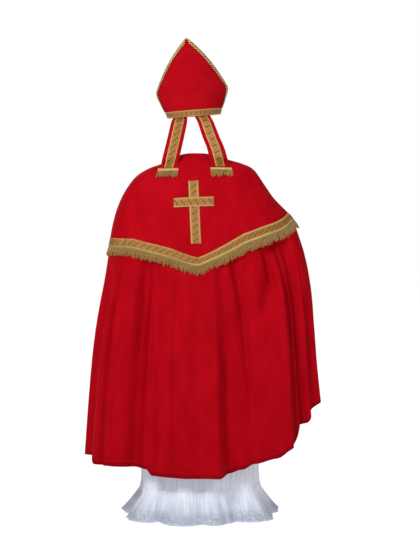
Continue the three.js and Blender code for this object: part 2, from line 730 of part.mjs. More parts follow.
// A point of a panel, by place in rows of the table and by share across from -1 to 1
function mitrePoint(face, place, share) {
  const full = radians(column(MITRE, "turn", place));
  const turn = share * full;
  const across = (column(MITRE, "half", place) * Math.sin(turn)) / Math.sin(full);
  const crown = (Math.cos(turn) - Math.cos(full)) / (1 - Math.cos(full));
  const depth = column(MITRE, "edge", place) + column(MITRE, "crown", place) * crown;
  return new THREE.Vector3(face * across, face * depth, column(MITRE, "up", place));
}

// Share across where the edge braid's inner line runs, at a place in rows
function braidShare(place) {
  const change = (name) => column(MITRE, name, place + NEAR.place) - column(MITRE, name, place - NEAR.place);
  const edge = mitrePoint(1, place, 1);
  const wide = EDGE_BRAID * Math.hypot(1, change("half") / change("up"));
  return Math.max(NARROWEST, solve((share) => mitrePoint(1, place, share).distanceTo(edge), wide, 0, 1));
}

// Rows from the point down to the opening; the first and last columns are the edge braid's
function mitreGrid(face) {
  return MITRE.map((_, k) => {
    const place = MITRE.length - 1 - k;
    const inner = braidShare(Math.min(place, MITRE.length - 1 - TIP));
    const shares = [-1];
    for (let j = 0; j <= MITRE_COLUMNS; j += 1) shares.push(mix(-inner, inner, j / MITRE_COLUMNS));
    shares.push(1);
    return shares.map((share) => mitrePoint(face, place, share));
  });
}

const inMitre = (grid) => grid.map((line) => line.map((point) => point.clone().applyMatrix4(mitreFrame)));

// The edge braid lies on the first and last columns of a panel, from the band up over the point
function edgeBraid(grid, distance) {
  const raised = moved(grid, distance);
  const last = MITRE_COLUMNS + 2;
  const up = raised.slice(0, -1).reverse();
  const lines = up.map((line) => [line[0], line[1]]);
  for (const line of raised.slice(0, -1)) lines.push([line[last], line[last - 1]]);
  return inMitre([0, 1].map((k) => lines.map((line) => line[k])));
}

function buildMitre() {
  const faces = { back: 1, front: -1 };
  for (const [name, face] of Object.entries(faces)) {
    const grid = mitreGrid(face);
    piece("mitre_" + name, "red_felt", wall(inMitre(grid), inMitre(moved(grid, -FELT))));
    const braid = wall(edgeBraid(grid, LIE + BRAID), edgeBraid(grid, LIE), { slant: true });
    piece("mitre_edge_" + name, "gold_braid", braid);
  }
  const [back, front] = [mitreGrid(1), mitreGrid(-1)];
  const low = back.length - 1;
  const around = (i) => [...back[i].slice(0, -1), ...front[i].slice(0, -1)];
  const foot = around(low);
  const head = around(low - 1).map((point, j) => point.clone().lerp(foot[j], BAND_TOP));
  const rows = [head, foot];
  const outer = moved(rows, BAND_LIE + BRAID, true);
  const inner = moved(rows, BAND_LIE, true);
  piece("mitre_band", "gold_braid", wall(inMitre(outer), inMitre(inner), { ring: true }));
}

// Places across a lappet from its left edge: the two edges, the braid's two edges and the middle
function lappetPlaces(half) {
  const braid = BRAID_WIDE / 2 / half;
  return [-1, -braid, 0, braid, 1].map((k) => k * half);
}

// A line of points that rests on the capelet, as deep as the surface lets it sink
function laidRow(capelet, row, aside, lie) {
  const places = aside.map((far) => placeOn(capelet, row.x + far, row.z)?.y ?? -Infinity);
  const deepest = Math.max(...places) - LAPPET_SAG;
  return places.map((y, i) => new THREE.Vector3(row.x + aside[i], Math.max(y, deepest) + lie, row.z));
}

// A lappet hangs from inside the head opening, and its end lies on the capelet
function lappetGrid(capelet, { top, free, laid }) {
  const tucked = [TUCK, 0].map((up) =>
    lappetPlaces(LAPPET_HALF).map((far) => {
      const place = up / MITRE_BAND;
      const full = radians(column(MITRE, "turn", place));
      const turn = Math.asin(((top + far) * Math.sin(full)) / column(MITRE, "half", place));
      const point = mitrePoint(1, place, turn / full);
      const inward = new THREE.Vector3(Math.sin(turn), Math.cos(turn), 0);
      point.addScaledVector(inward, -FELT - TUCK_LIE - INNER_EASE);
      return point.applyMatrix4(mitreFrame);
    }),
  );
  const hanging = free.map((row) =>
    lappetPlaces(row.half).map((far) => {
      const curl = LAPPET_BOW * (far / row.half) ** 2;
      return new THREE.Vector3(row.x + far, row.y - curl, row.z);
    }),
  );
  const resting = laid.map((row) => laidRow(capelet, row, lappetPlaces(row.half), LAPPET_LIE + SATIN));
  return [...tucked, ...hanging, ...resting];
}

function buildLappets(capelet) {
  for (const [name, cut] of Object.entries(LAPPETS)) {
    const grid = lappetGrid(capelet, cut);
    piece("lappet_" + name, "red_felt", wall(grid, moved(grid, -SATIN)));
    const middle = (distance) => moved(grid, distance).map((line) => line.slice(1, -1));
    piece("lappet_braid_" + name, "gold_braid", wall(middle(LIE + BRAID), middle(LIE)));
    const heading = cut.heading.map((row) =>
      laidRow(capelet, row, [-row.half, 0, row.half], HEADING_LIE),
    );
    const strands = fringe(moved(heading, BRAID), heading, LAPPET_SLOTS, LAPPET_FRINGE);
    piece("lappet_fringe_" + name, "gold_braid", strands);
  }
}

buildCope();
const capelet = buildCapelet();
buildCapeletTrim();
buildCross(capelet);
buildAlb();
buildLace();
buildSleeve("left", 1, LEFT_SLEEVE);
buildSleeve("right", -1, RIGHT_SLEEVE);
buildMitre();
buildLappets(capelet);

export default costume;
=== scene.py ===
import math
import random

import bpy
import numpy as np
from mathutils import Matrix, Vector
from mathutils.bvhtree import BVHTree


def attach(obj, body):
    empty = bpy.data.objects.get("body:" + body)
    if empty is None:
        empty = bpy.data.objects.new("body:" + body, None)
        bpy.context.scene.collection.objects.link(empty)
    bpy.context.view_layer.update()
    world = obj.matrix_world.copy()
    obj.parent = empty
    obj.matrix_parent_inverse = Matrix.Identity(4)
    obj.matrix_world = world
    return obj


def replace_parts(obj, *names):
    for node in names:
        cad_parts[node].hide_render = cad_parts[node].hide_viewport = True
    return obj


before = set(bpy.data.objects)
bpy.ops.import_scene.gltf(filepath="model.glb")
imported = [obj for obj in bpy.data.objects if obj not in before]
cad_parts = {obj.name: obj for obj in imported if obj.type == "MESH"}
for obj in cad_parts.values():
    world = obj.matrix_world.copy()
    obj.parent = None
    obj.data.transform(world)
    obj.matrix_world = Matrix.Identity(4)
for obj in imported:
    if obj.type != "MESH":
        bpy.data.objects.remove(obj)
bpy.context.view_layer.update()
random.seed(6)

# Sizes
MM = 0.001
FLOOR = -1450
HEM_CLEAR = 0.4
SEAM = 0.3
SATIN = 1.6
LINEN = 1.4
FELT = 2
BRAID = 1.2
LIE = 0.35
BRAID_WIDE = 38
HEADING = 5
# Metres: where the hem is stitched, and where its darker rim, a painted shade, ends
HEM_TURN = 0.03
HEM_RIM = (0.013, 0.019)
CAPELET_ROWS = 8
LOWER_ROWS = 8
ROWS = CAPELET_ROWS + LOWER_ROWS
COLUMNS = 60
QUARTER = 90


def table(names, *rows):
    return {name: np.array([row[k] for row in rows], float) for k, name in enumerate(names.split())}


# Form of the cope from neck to hem: reaches from the axis, each with its level
FORM = table(
    "left leftZ back backZ right rightZ front frontZ",
    (64, 38, 62, 44, 66, 44, 62, -10),
    (134, 4, 96, 12, 146, 21, 96, -52),
    (187, -14, 124, -44, 203, 5, 118, -108),
    (241, -48, 146, -112, 250, -20, 134, -170),
    (283, -104, 158, -190, 288, -76, 144, -240),
    (313, -170, 168, -272, 329, -150, 152, -312),
    (335, -244, 176, -356, 372, -226, 158, -384),
    (350, -328, 185, -440, 412, -286, 165, -458),
    (371, -448, 197, -560, 458, -380, 176, -570),
    (398, -590, 213, -710, 486, -520, 192, -710),
    (424, -770, 233, -890, 502, -680, 212, -890),
    (442, -970, 252, -1075, 514, -830, 232, -1060),
    (455, -1202, 268, -1262, 530, -985, 250, -1225),
)
SIDE_ROUNDING = 0.92
BACK_ROUNDING = 0.8
STRETCH_FROM = 0.5
# Points of the cope: rows above and below the capelet's edge, and across
COPE_UPPER, COPE_LOWER, COPE_ACROSS = 36, 104, 321
# Levels by angle: 0 is the back, 90 the left, -90 the right
CAPELET_EDGE = table(
    "at z",
    (-180, -226), (-112, -226), (-90, -238), (-66, -278), (-47, -308), (-32, -337), (-16, -387),
    (-2, -430), (14, -395), (25, -379), (45, -353), (90, -344), (130, -352), (180, -372),
)
COPE_HEM = table(
    "at z",
    (-180, -960), (-118, -960), (-85, -984), (-70, -1016), (-64, -1064), (-56, -1076), (-50, -1150),
    (-36, -1193), (-26, -1212), (-20, -1236), (-14, -1250), (-10.5, -1267), (0, -1267), (19.5, -1259),
    (23, -1234), (32, -1228), (60, -1228),
    (70, -1202), (120, -1212), (180, -1225),
)
FRONT_EDGES = table(
    "at left right",
    (0, 177, -177), (2, 173, -168), (5, 166, -138), (8, 161, -114), (16, 152, -119),
)
SLEEVE_LIFT = {"angle": -118, "wide": 30, "down": 0.54, "long": 0.12, "rise": 54, "push": 40}
# Folds: angle at the top and foot, where they start and end, depth outward, half width
FOLD = "top foot start end depth half"
COPE_FOLDS = table(
    FOLD,
    (72, 73, 0.1, 1.3, -34, 7), (60, 63, 0.2, 1.3, 9, 5), (27, 26, 0, 1.3, -40, 8.5),
    (14, 12, 0.35, 1.3, 12, 10), (-7, -9, 0.5, 1.3, 14, 5), (-18, -18.5, 0.3, 1.3, -34, 6),
    (-22, -31, 0, 1, -20, 5), (-61, -9, 0, 0.6, -22, 5.5), (-42, -38, 0.5, 1.3, 14, 8),
    (-61, -60, 0, 1.3, -50, 6), (-77, -74, 0.35, 1.3, -26, 5), (-98, -98, 0.45, 1.3, -28, 8),
    (96, 98, 0.25, 1.3, -30, 9), (118, 121, 0.1, 1.3, -38, 8), (143, 140, 0.2, 1.3, -26, 7),
)
# Soft creases that are too fine for the solids
COPE_CREASES = table(
    FOLD,
    (42, 44, 0.35, 1.3, 6, 2.6), (32, 32, -0.1, 1.4, -24, 4), (25, 24, 0, 1.3, 16, 2.6),
    (5, 3, 0.15, 1.2, 4, 3), (-2, -1, 0.1, 0.8, -4, 2), (9, 8, 0, 1.4, -8, 2.4),
    (-9, -9.5, 0, 1.3, 12, 1.9), (-13.6, -14, -0.1, 1.4, -17, 2.6),
    (-20, -27, -0.1, 1, -17, 2.2), (-30, -34, 0.3, 1.3, 6, 2.2), (-42, -46, -0.1, 0.5, -13, 1.8),
    (-49, -46.5, 0.05, 1.3, 12, 2.4), (-54.5, -51, 0.05, 1.3, -26, 2.4), (-58.8, -57, 0.1, 1.3, 9, 2),
    (-70.5, -69.5, 0.2, 1.3, -10, 1.6), (-67, -66, 0.1, 1.3, 7, 2.2), (-84, -82, 0.2, 1.3, 6, 2.4),
    (-90, -91, 0.5, 1.3, -6, 2), (-108, -107, 0.3, 1.3, 6, 2.6), (55, 54, 0.05, 1.3, -13, 2.2),
    (51.2, 50.6, 0.05, 1.3, 8, 2), (66, 67, 0.3, 1.3, 5, 1.8), (82, 83, 0.2, 1.3, 7, 3),
    (88, 90, 0.5, 1.3, -6, 2), (106, 108, 0.3, 1.3, 8, 3), (128, 130, 0.15, 1.3, 8, 3),
    (134, 135, 0.5, 1.3, -5, 2), (150, 147, 0.3, 1.3, 7, 2.4),
)
CAPELET_FOLDS = table(
    FOLD,
    (62, 66, 0.3, 1.4, 7, 9), (112, 112, 0.4, 1.4, 9, 9), (146, 145, 0.3, 1.4, 6, 7),
    (-30, -38, 0.5, 1.4, 5, 8), (-96, -98, 0.5, 1.4, 4, 6),
)
CAPELET_CREASES = table(
    FOLD,
    (40, 43, 0.35, 1.3, 2.2, 1.6), (48, 52, 0.25, 1.3, 2.6, 1.5), (57, 60, 0.45, 1.3, 2.4, 1.8),
    (24, 25, 0.5, 1.3, 2, 2.4), (-12, -17, 0.5, 1.3, 2.4, 3), (-48, -54, 0.4, 1.3, 2.6, 2.4),
    (-66, -74, 0.35, 1.3, 2.8, 2.2), (84, 86, 0.4, 1.3, 3, 2.4), (98, 99, 0.5, 1.3, 2.4, 2),
    (128, 128, 0.3, 1.3, 3, 2.4), (-84, -88, 0.5, 1.3, 2.4, 2),
)

ALB = table(
    "left right back front sideZ backZ",
    (212, 222, 139, 128, -112, -188), (202, 212, 137, 126, -170, -226),
    (196, 206, 133, 121, -226, -262), (196, 208, 126, 114, -340, -345),
    (200, 216, 126, 116, -480, -480), (208, 234, 142, 134, -720, -720),
    (212, 252, 166, 160, -980, -980), (214, 264, 184, 180, -1200, -1200),
    (218, 272, 196, 192, -1332, -1332), (220, 276, 199, 195, -1346, -1346),
)
ALB_LENGTH = len(ALB["left"])
SHOULDER_ROWS = 4
UNDER_COPE = [SEAM, 2.5, 5, 8]
ARMHOLE = [0, 24, 29, 0]
ALB_COLUMNS = 24
ALB_FINE = 160
ALB_ROWS = 190
ALB_CRINKLE = 0.6
LACE_MEETS = 0.9
LACE_FOLD = 0.8
SPREAD_EVENLY = 80
SMOOTH_ROWS = 2
ALB_FOLDS = table(
    "at depth half",
    (8, 15, 8), (30, -17, 7), (52, 13, 9), (78, -12, 7), (101, 12, 8), (127, -16, 8), (152, 14, 8),
    (178, -13, 7), (203, 15, 9), (229, -14, 8), (255, 12, 8), (281, -11, 7), (305, 14, 8),
    (328, -18, 7), (347, 11, 6),
)
ALB_CREASES = table(
    "at depth half",
    (36, -7, 2.4), (40, 5, 2), (12, 4, 3), (20, -4, 2.5), (355, -10, 3.4), (350, 6, 2),
    (339, -9, 2.4), (335, 6, 2), (318, -6, 2.5), (311, 5, 2), (60, -6, 2.4), (66, 5, 2),
    (90, -6, 3), (115, 5, 2.4), (140, -6, 3), (165, 5, 2.6), (190, -6, 2.6), (216, 5, 3),
    (241, -6, 2.4), (268, 5, 3), (292, -6, 2.4),
)
LACE = table("down spread ruffle", (0, 0, 0), (0.12, 2.5, 0.4), (0.45, 22, 2.4), (0.8, 47, 4), (1, 66, 5.5))

LEFT_SLEEVE = np.array(
    [(256, -2, -205, 53), (268, 4, -278, 51), (273, 2, -354, 50), (268, -20, -436, 50),
     (257, -50, -510, 50), (254, -57, -524, 50)], float)
RIGHT_SLEEVE = np.array(
    [(-260, 4, -192, 56), (-296, 18, -250, 52), (-332, 8, -300, 49), (-354, -42, -316, 46),
     (-371, -92, -304, 44), (-397, -136, -281, 44), (-405, -149, -274, 44)], float)
# Waves of a sleeve: size, how many along it and round it, and phase
SLEEVE_CREASES = [(1.6, 5, 1, 0), (1.2, 9, -1, 1.2), (0.8, 13, 2, 2.5), (0.9, 3, 5, 0.4)]
RING = 12
SLEEVE_LONG, SLEEVE_ROUND = 80, 96
ARMHOLE_TOP = 0.9
ARMHOLE_EASE = 6

MITRE = table(
    "up half edge crown turn",
    (0, 111, 0.6, 100, 88), (27, 120, 0.6, 99, 86), (62, 135, 0.6, 94, 80), (103, 148, 1.4, 86, 70),
    (133, 137, 12, 71, 64), (174, 114, 29, 50, 60), (217, 87, 44, 32, 58), (262, 53, 56, 16, 56),
    (300, 19, 64, 5, 55), (316, 3, 67, 1, 55),
)
MITRE_TOP = len(MITRE["up"]) - 1
MITRE_FRAME = (
    Matrix.Translation((0, -12, 209))
    @ Matrix.Rotation(math.radians(4.6), 4, "Y")
    @ Matrix.Rotation(math.radians(-8), 4, "X")
    @ Matrix.Rotation(math.radians(-4.5), 4, "Z")
)
EDGE_BRAID = 16
BAND_LIE = 0.5
MITRE_BAND = 27

LAPPETS = {
    "left": {
        "top": 56,
        "free": [(60, 97, 168, 33), (72, 103, 112, 34), (84, 106, 60, 34.5), (94, 107, 18, 35)],
        "laid": [(99, -4, 35), (103, -19, 35)],
        "heading": [(104, -22, 42), (105, -32, 43)],
    },
    "right": {
        "top": -44,
        "free": [(-50, 97, 168, 33), (-70, 103, 112, 35), (-89, 106, 66, 36), (-101, 107, 24, 37)],
        "laid": [(-106, 4, 38), (-110, -14, 38)],
        "heading": [(-112, -18, 44), (-114, -28, 45)],
    },
}
LAPPET_HALF = 33
LAPPET_BOW = 3
LAPPET_SAG = 16
LAPPET_LIE = 2.1
HEADING_LIE = 1.65
TUCK = 18
TUCK_IN = 7.3
CROSS = {
    "cross_upright": {"ends": (1, -75, -11, -333), "half": 20, "lift": 0.5},
    "cross_bar": {"ends": (80, -167, -83, -160), "half": 19, "lift": 2.4},
}


# Curves and surfaces
def soft(x):
    s = np.clip(x, 0, 1)
    return s * s * (3 - 2 * s)


def curve(values, place):
    """Smooth values between the entries of an array, at places counted in entries."""
    last = len(values) - 1
    i = np.clip(np.floor(place).astype(int), 0, last - 1)
    s = place - i
    s = s.reshape(s.shape + (1,) * (values.ndim - 1))
    a, b, c, d = (values[np.clip(i + k, 0, last)] for k in (-1, 0, 1, 2))
    return b + 0.5 * s * (c - a + s * (2 * a - 5 * b + 4 * c - d + s * (3 * (b - c) + d - a)))


def between(rows, name, at, straight=False):
    k = np.searchsorted(rows["at"][1:-1], at, side="left")
    share = (at - rows["at"][k]) / (rows["at"][k + 1] - rows["at"][k])
    return rows[name][k] + (rows[name][k + 1] - rows[name][k]) * (share if straight else soft(share))


def oval(angle, left, right, back, front):
    across, along = np.sin(np.radians(angle)), np.cos(np.radians(angle))
    x = np.where(across > 0, left, right) * np.sign(across) * np.abs(across) ** SIDE_ROUNDING
    y = np.where(along > 0, back, front) * np.sign(along) * np.abs(along) ** BACK_ROUNDING
    return x, y, across**2


def lifted(angle, share):
    aside = (angle - SLEEVE_LIFT["angle"]) / SLEEVE_LIFT["wide"]
    away = (share - SLEEVE_LIFT["down"]) / SLEEVE_LIFT["long"]
    return np.exp(-(aside**2) - away**2)


def form_level(angle, share):
    place = share * (len(FORM["left"]) - 1)
    across, along = np.sin(np.radians(angle)), np.cos(np.radians(angle))
    side = np.where(across > 0, curve(FORM["leftZ"], place), curve(FORM["rightZ"], place))
    end = np.where(along > 0, curve(FORM["backZ"], place), curve(FORM["frontZ"], place))
    return end + (side - end) * across**2 + SLEEVE_LIFT["rise"] * lifted(angle, share)


def form_point(angle, share):
    angle, share = np.broadcast_arrays(np.asarray(angle, float), np.asarray(share, float))
    place = share * (len(FORM["left"]) - 1)
    reaches = [curve(FORM[name], place) for name in ("left", "right", "back", "front")]
    x, y, _ = oval(angle, *reaches)
    level = form_level(angle, share)
    stretch = between(COPE_HEM, "z", angle) - form_level(angle, np.ones_like(share))
    level = level + stretch * soft((share - STRETCH_FROM) / (1 - STRETCH_FROM))
    return np.stack([x - SLEEVE_LIFT["push"] * lifted(angle, share), y, level], -1)


def solve(falling, target, low, high):
    low, high = np.full_like(target, low), np.full_like(target, high)
    for _ in range(40):
        middle = (low + high) / 2
        above = falling(middle) > target
        low, high = np.where(above, middle, low), np.where(above, high, middle)
    return (low + high) / 2


AROUND = np.linspace(-180, 180, 721)
EDGE_SHARE = solve(lambda s: form_point(AROUND, s)[..., 2], between(CAPELET_EDGE, "z", AROUND, True), 0, 0.9)
PACE = np.linalg.norm(form_point(AROUND, EDGE_SHARE) - form_point(AROUND, EDGE_SHARE - 0.01), axis=-1) / 0.01
BRAID_SHARE = EDGE_SHARE - (BRAID_WIDE + HEADING) / PACE


def row_share(row, angle):
    edge, above = (np.interp(angle, AROUND, values) for values in (EDGE_SHARE, BRAID_SHARE))
    upper = above * np.minimum(row, CAPELET_ROWS - 1) / (CAPELET_ROWS - 1)
    strip = (edge - above) * np.clip(row - CAPELET_ROWS + 1, 0, 1)
    return upper + strip + (1 - edge) * np.clip((row - CAPELET_ROWS) / LOWER_ROWS, 0, 1)


def fold_depth(folds, angle, down):
    depth = np.zeros(np.broadcast(angle, down).shape)
    for top, foot, start, end, deep, half in zip(*(folds[name] for name in FOLD.split())):
        share = (down - start) / (end - start)
        centre = top + (foot - top) * down
        fade = soft(share * 3) * soft((1 - share) * 4)
        depth += deep * fade * np.exp(-(((angle - centre) / half) ** 2))
    return depth


def unit(lines):
    return lines / np.linalg.norm(lines, axis=-1, keepdims=True)


def normals(grid, ring=False):
    across = (np.roll(grid, -1, 1) - np.roll(grid, 1, 1)) if ring else np.gradient(grid, axis=1)
    out = np.cross(across, np.gradient(grid, axis=0))
    return out / np.maximum(np.linalg.norm(out, axis=-1, keepdims=True), 1e-9)


def moved(grid, distance, ring=False):
    return grid + normals(grid, ring) * np.asarray(distance)[..., None]


def refine(grid, rows, columns, ring=False):
    """The same smooth sheet with more points; a ring stays closed."""
    tall = curve(grid, np.linspace(0, len(grid) - 1, rows)).swapaxes(0, 1)
    if not ring:
        return curve(tall, np.linspace(0, len(tall) - 1, columns)).swapaxes(0, 1)
    wrapped = np.concatenate([tall[-2:], tall, tall[:3]])
    places = 2 + np.arange(columns) * len(tall) / columns
    return curve(wrapped, places).swapaxes(0, 1)


def wobble(grid, waves):
    """Uneven soft waves: each is per metre in x, y and z, with a phase and a size."""
    depth = np.zeros(grid.shape[:2])
    for x, y, z, phase, size in waves:
        depth += size * np.sin((grid @ np.array([x, y, z])) * MM * 2 * math.pi + phase)
    return depth


def lengths(grid, ring=False):
    """Metres along each row from its middle, and up each column from the last row."""
    closed = np.concatenate([grid, grid[:, :1]], 1) if ring else grid
    u = np.zeros(closed.shape[:2])
    v = np.zeros(closed.shape[:2])
    u[:, 1:] = np.cumsum(np.linalg.norm(np.diff(closed, axis=1), axis=-1), 1)
    u -= u[:, [u.shape[1] // 2]]
    v[1:] = np.cumsum(np.linalg.norm(np.diff(closed, axis=0), axis=-1), 0)
    return np.stack([u, v[-1] - v], -1) * MM


# Pieces
def new_object(name, data):
    made = bpy.data.objects.new(name, data)
    bpy.context.scene.collection.objects.link(made)
    return made


def piece(name, points, faces, uv, finish, slot, smooth=True):
    mesh = bpy.data.meshes.new(name)
    mesh.from_pydata((np.asarray(points) * MM).tolist(), [], np.asarray(faces).tolist())
    mesh.uv_layers.new(name="metres").data.foreach_set("uv", np.asarray(uv, np.float32).ravel())
    mesh.shade_smooth() if smooth else mesh.shade_flat()
    made = new_object(name, mesh)
    mesh.materials.append(finish)
    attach(made, "root")
    return made


def cut(cloth, width, length, area, held, rests_on, trim=()):
    """Takes a piece's flat cut in metres and what it lies on, and does nothing with them: none of its
    arguments is used.
    """


def wall(outer, inner, ring=False, uv=None):
    """Points, faces and map of a closed wall between two grids."""
    rows, columns = outer.shape[:2]
    cells = columns if ring else columns - 1
    count = rows * columns
    uv = lengths(outer, ring) if uv is None else uv
    i, j = (part.ravel() for part in np.meshgrid(np.arange(rows - 1), np.arange(cells), indexing="ij"))
    edge = np.arange(cells)
    top, foot = np.zeros(cells, int), np.full(cells, rows - 1)
    quads = [
        [(0, i, j), (0, i, j + 1), (0, i + 1, j + 1), (0, i + 1, j)],
        [(1, i, j), (1, i + 1, j), (1, i + 1, j + 1), (1, i, j + 1)],
        [(0, top, edge + 1), (0, top, edge), (1, top, edge), (1, top, edge + 1)],
        [(0, foot, edge), (0, foot, edge + 1), (1, foot, edge + 1), (1, foot, edge)],
    ]
    if not ring:
        down = np.arange(rows - 1)
        first, last = np.zeros(rows - 1, int), np.full(rows - 1, columns - 1)
        quads.append([(0, down, first), (0, down + 1, first), (1, down + 1, first), (1, down, first)])
        quads.append([(0, down + 1, last), (0, down, last), (1, down, last), (1, down + 1, last)])
    faces = [np.stack([s * count + a * columns + b % columns for s, a, b in quad], 1) for quad in quads]
    places = [np.stack([uv[a, b] for _, a, b in quad], 1) for quad in quads]
    points = np.concatenate([outer.reshape(-1, 3), inner.reshape(-1, 3)])
    return points, np.concatenate(faces), np.concatenate(places)


def sheet_of(name, outer, thick, finish, slot, ring=False, uv=None):
    return piece(name, *wall(outer, moved(outer, -thick, ring), ring, uv), finish, slot)


def together(*parts):
    """Several walls in one mesh."""
    points, faces, places, count = [], [], [], 0
    for some, corners, uv in parts:
        points.append(some)
        faces.append(np.asarray(corners) + count)
        places.append(uv)
        count += len(some)
    return np.concatenate(points), np.concatenate(faces), np.concatenate(places)


# Materials
def linear(code):
    levels = [int(code[k : k + 2], 16) / 255 for k in (1, 3, 5)]
    return tuple(c / 12.92 if c <= 0.04045 else ((c + 0.055) / 1.055) ** 2.4 for c in levels) + (1.0,)


def fill(node, inputs):
    """Gives a node's inputs values, colour codes or sockets."""
    for key, value in inputs.items():
        if isinstance(value, bpy.types.NodeSocket):
            node.id_data.links.new(value, node.inputs[key])
        else:
            node.inputs[key].default_value = linear(value) if isinstance(value, str) else value


def add(near, kind, inputs=None, **settings):
    """A new node in the tree that a node or socket belongs to."""
    node = near.id_data.nodes.new("ShaderNode" + kind)
    for key, value in settings.items():
        setattr(node, key, value)
    fill(node, inputs or {})
    return node


def start(name, settings):
    made = bpy.data.materials.new(name)
    made.use_nodes = True
    shader = made.node_tree.nodes["Principled BSDF"]
    fill(shader, settings)
    return made, shader, add(shader, "TexCoord").outputs


def blend(share, low, high):
    """A colour between two, each a code or a socket."""
    return add(share, "Mix", {0: share, 6: low, 7: high}, data_type="RGBA").outputs[2]


def reach(value, low, high, to_low=0.0, to_high=1.0):
    ends = {"From Min": low, "From Max": high, "To Min": to_low, "To Max": to_high}
    return add(value, "MapRange", {"Value": value, **ends}).outputs[0]


def maths(operation, a, b=0.0):
    near = b if isinstance(a, float) else a
    return add(near, "Math", {0: a, 1: b}, operation=operation).outputs[0]


def ripples(length, pitch_mm):
    """A sine wave along a length in metres."""
    return maths("SINE", maths("MULTIPLY", length, math.tau / (pitch_mm * MM)))


def directions(places):
    """The map's two directions: along the rows and up the columns."""
    return add(places, "SeparateXYZ", {0: places}).outputs


def voronoi(places, size_mm, uneven=1.0, feature="F1"):
    inputs = {"Vector": places, "Scale": 1 / (size_mm * MM), "Randomness": uneven}
    return add(places, "TexVoronoi", inputs, feature=feature).outputs["Distance"]


def noise(places, size_mm, detail=2.0, stretch=(1, 1, 1)):
    """Noise with features of a real size; stretch makes them longer in x, y or z."""
    scale = tuple(1 / k for k in stretch)
    placed = add(places, "Mapping", {"Vector": places, "Scale": scale}).outputs[0]
    inputs = {"Vector": placed, "Scale": 1 / (size_mm * MM), "Detail": detail}
    return add(places, "TexNoise", inputs).outputs[0]


def dye(shader, colour):
    fill(shader, {"Base Color": colour})


def raise_by(shader, *layers):
    """Bumps laid over each other, each a height and its depth in millimetres."""
    under = {}
    for height, depth_mm in layers:
        bump = add(shader, "Bump", {"Height": height, "Distance": depth_mm * MM, **under})
        under = {"Normal": bump.outputs[0]}
    fill(shader, under)


def weave(places, pitch_mm):
    """Height of a plain weave on the map in metres."""
    along, up = directions(places)[:2]
    return maths("MULTIPLY", ripples(along, pitch_mm), ripples(up, pitch_mm))


def velour():
    made, shader, places = start(
        "polyester_velour_knitted_brushed",
        {"Roughness": 0.7, "IOR": 1.5, "Specular IOR Level": 0.03, "Sheen Weight": 0.05,
         "Sheen Roughness": 0.3, "Sheen Tint": linear("#FF2030")},
    )
    nap = noise(places["Object"], 55, 3, (1, 1, 2.6))
    fine = noise(places["Object"], 1.6, 2)
    base = blend(reach(nap, 0.35, 0.65), "#98000C", "#A60212")
    up = directions(places["UV"])[1]
    # Painted shade: a dark line along the stitched groove and a dark rim along the hem
    seam = reach(maths("ABSOLUTE", maths("SUBTRACT", up, HEM_TURN)), 0.0005, 0.003, 1, 0)
    edge = reach(up, *HEM_RIM, 1, 0)
    shade = maths("MAXIMUM", maths("MULTIPLY", seam, 0.15), maths("MULTIPLY", edge, 0.45))
    worn = blend(reach(fine, 0.3, 0.7, 0, 0.22), base, "#78000A")
    dye(shader, blend(shade, worn, "#5A0006"))
    broad = noise(places["Object"], 24, 2, (1, 1, 3))
    flat = maths("SUBTRACT", 1.0, seam)
    raise_by(shader, (broad, 2.2), (flat, 1.2), (fine, 0.12), (weave(places["UV"], 1.1), 0.06))
    return made


def felt():
    made, shader, places = start(
        "polyester_felt_needled",
        {"Roughness": 0.95, "IOR": 1.5, "Specular IOR Level": 0.03, "Sheen Weight": 0.04,
         "Sheen Roughness": 0.5, "Sheen Tint": linear("#FF4040")},
    )
    fibres = noise(places["Object"], 2.2, 5, (1, 1, 1.6))
    patches = noise(places["Object"], 40, 3)
    base = blend(reach(patches, 0.35, 0.65), "#96040F", "#9E0715")
    dye(shader, blend(reach(fibres, 0.35, 0.7, 0, 0.3), base, "#88030E"))
    raise_by(shader, (patches, 0.5), (fibres, 0.25))
    return made


def batiste():
    made, shader, places = start(
        "polyester_batiste_crinkled_plain_woven",
        {"Roughness": 0.8, "IOR": 1.5, "Specular IOR Level": 0.3, "Sheen Weight": 0.1},
    )
    crinkle = noise(places["UV"], 7, 3, (1, 16, 1))
    broad = noise(places["UV"], 26, 2, (1, 9, 1))
    # Painted shade: the cloth is darker in the crinkles' hollows and lighter on their ridges, from the same
    # noise that raises them
    dye(shader, blend(reach(crinkle, 0.35, 0.65), "#D6DDEE", "#EBF0FA"))
    raise_by(shader, (broad, 2.4), (crinkle, 1.2), (weave(places["UV"], 0.7), 0.05))
    return made


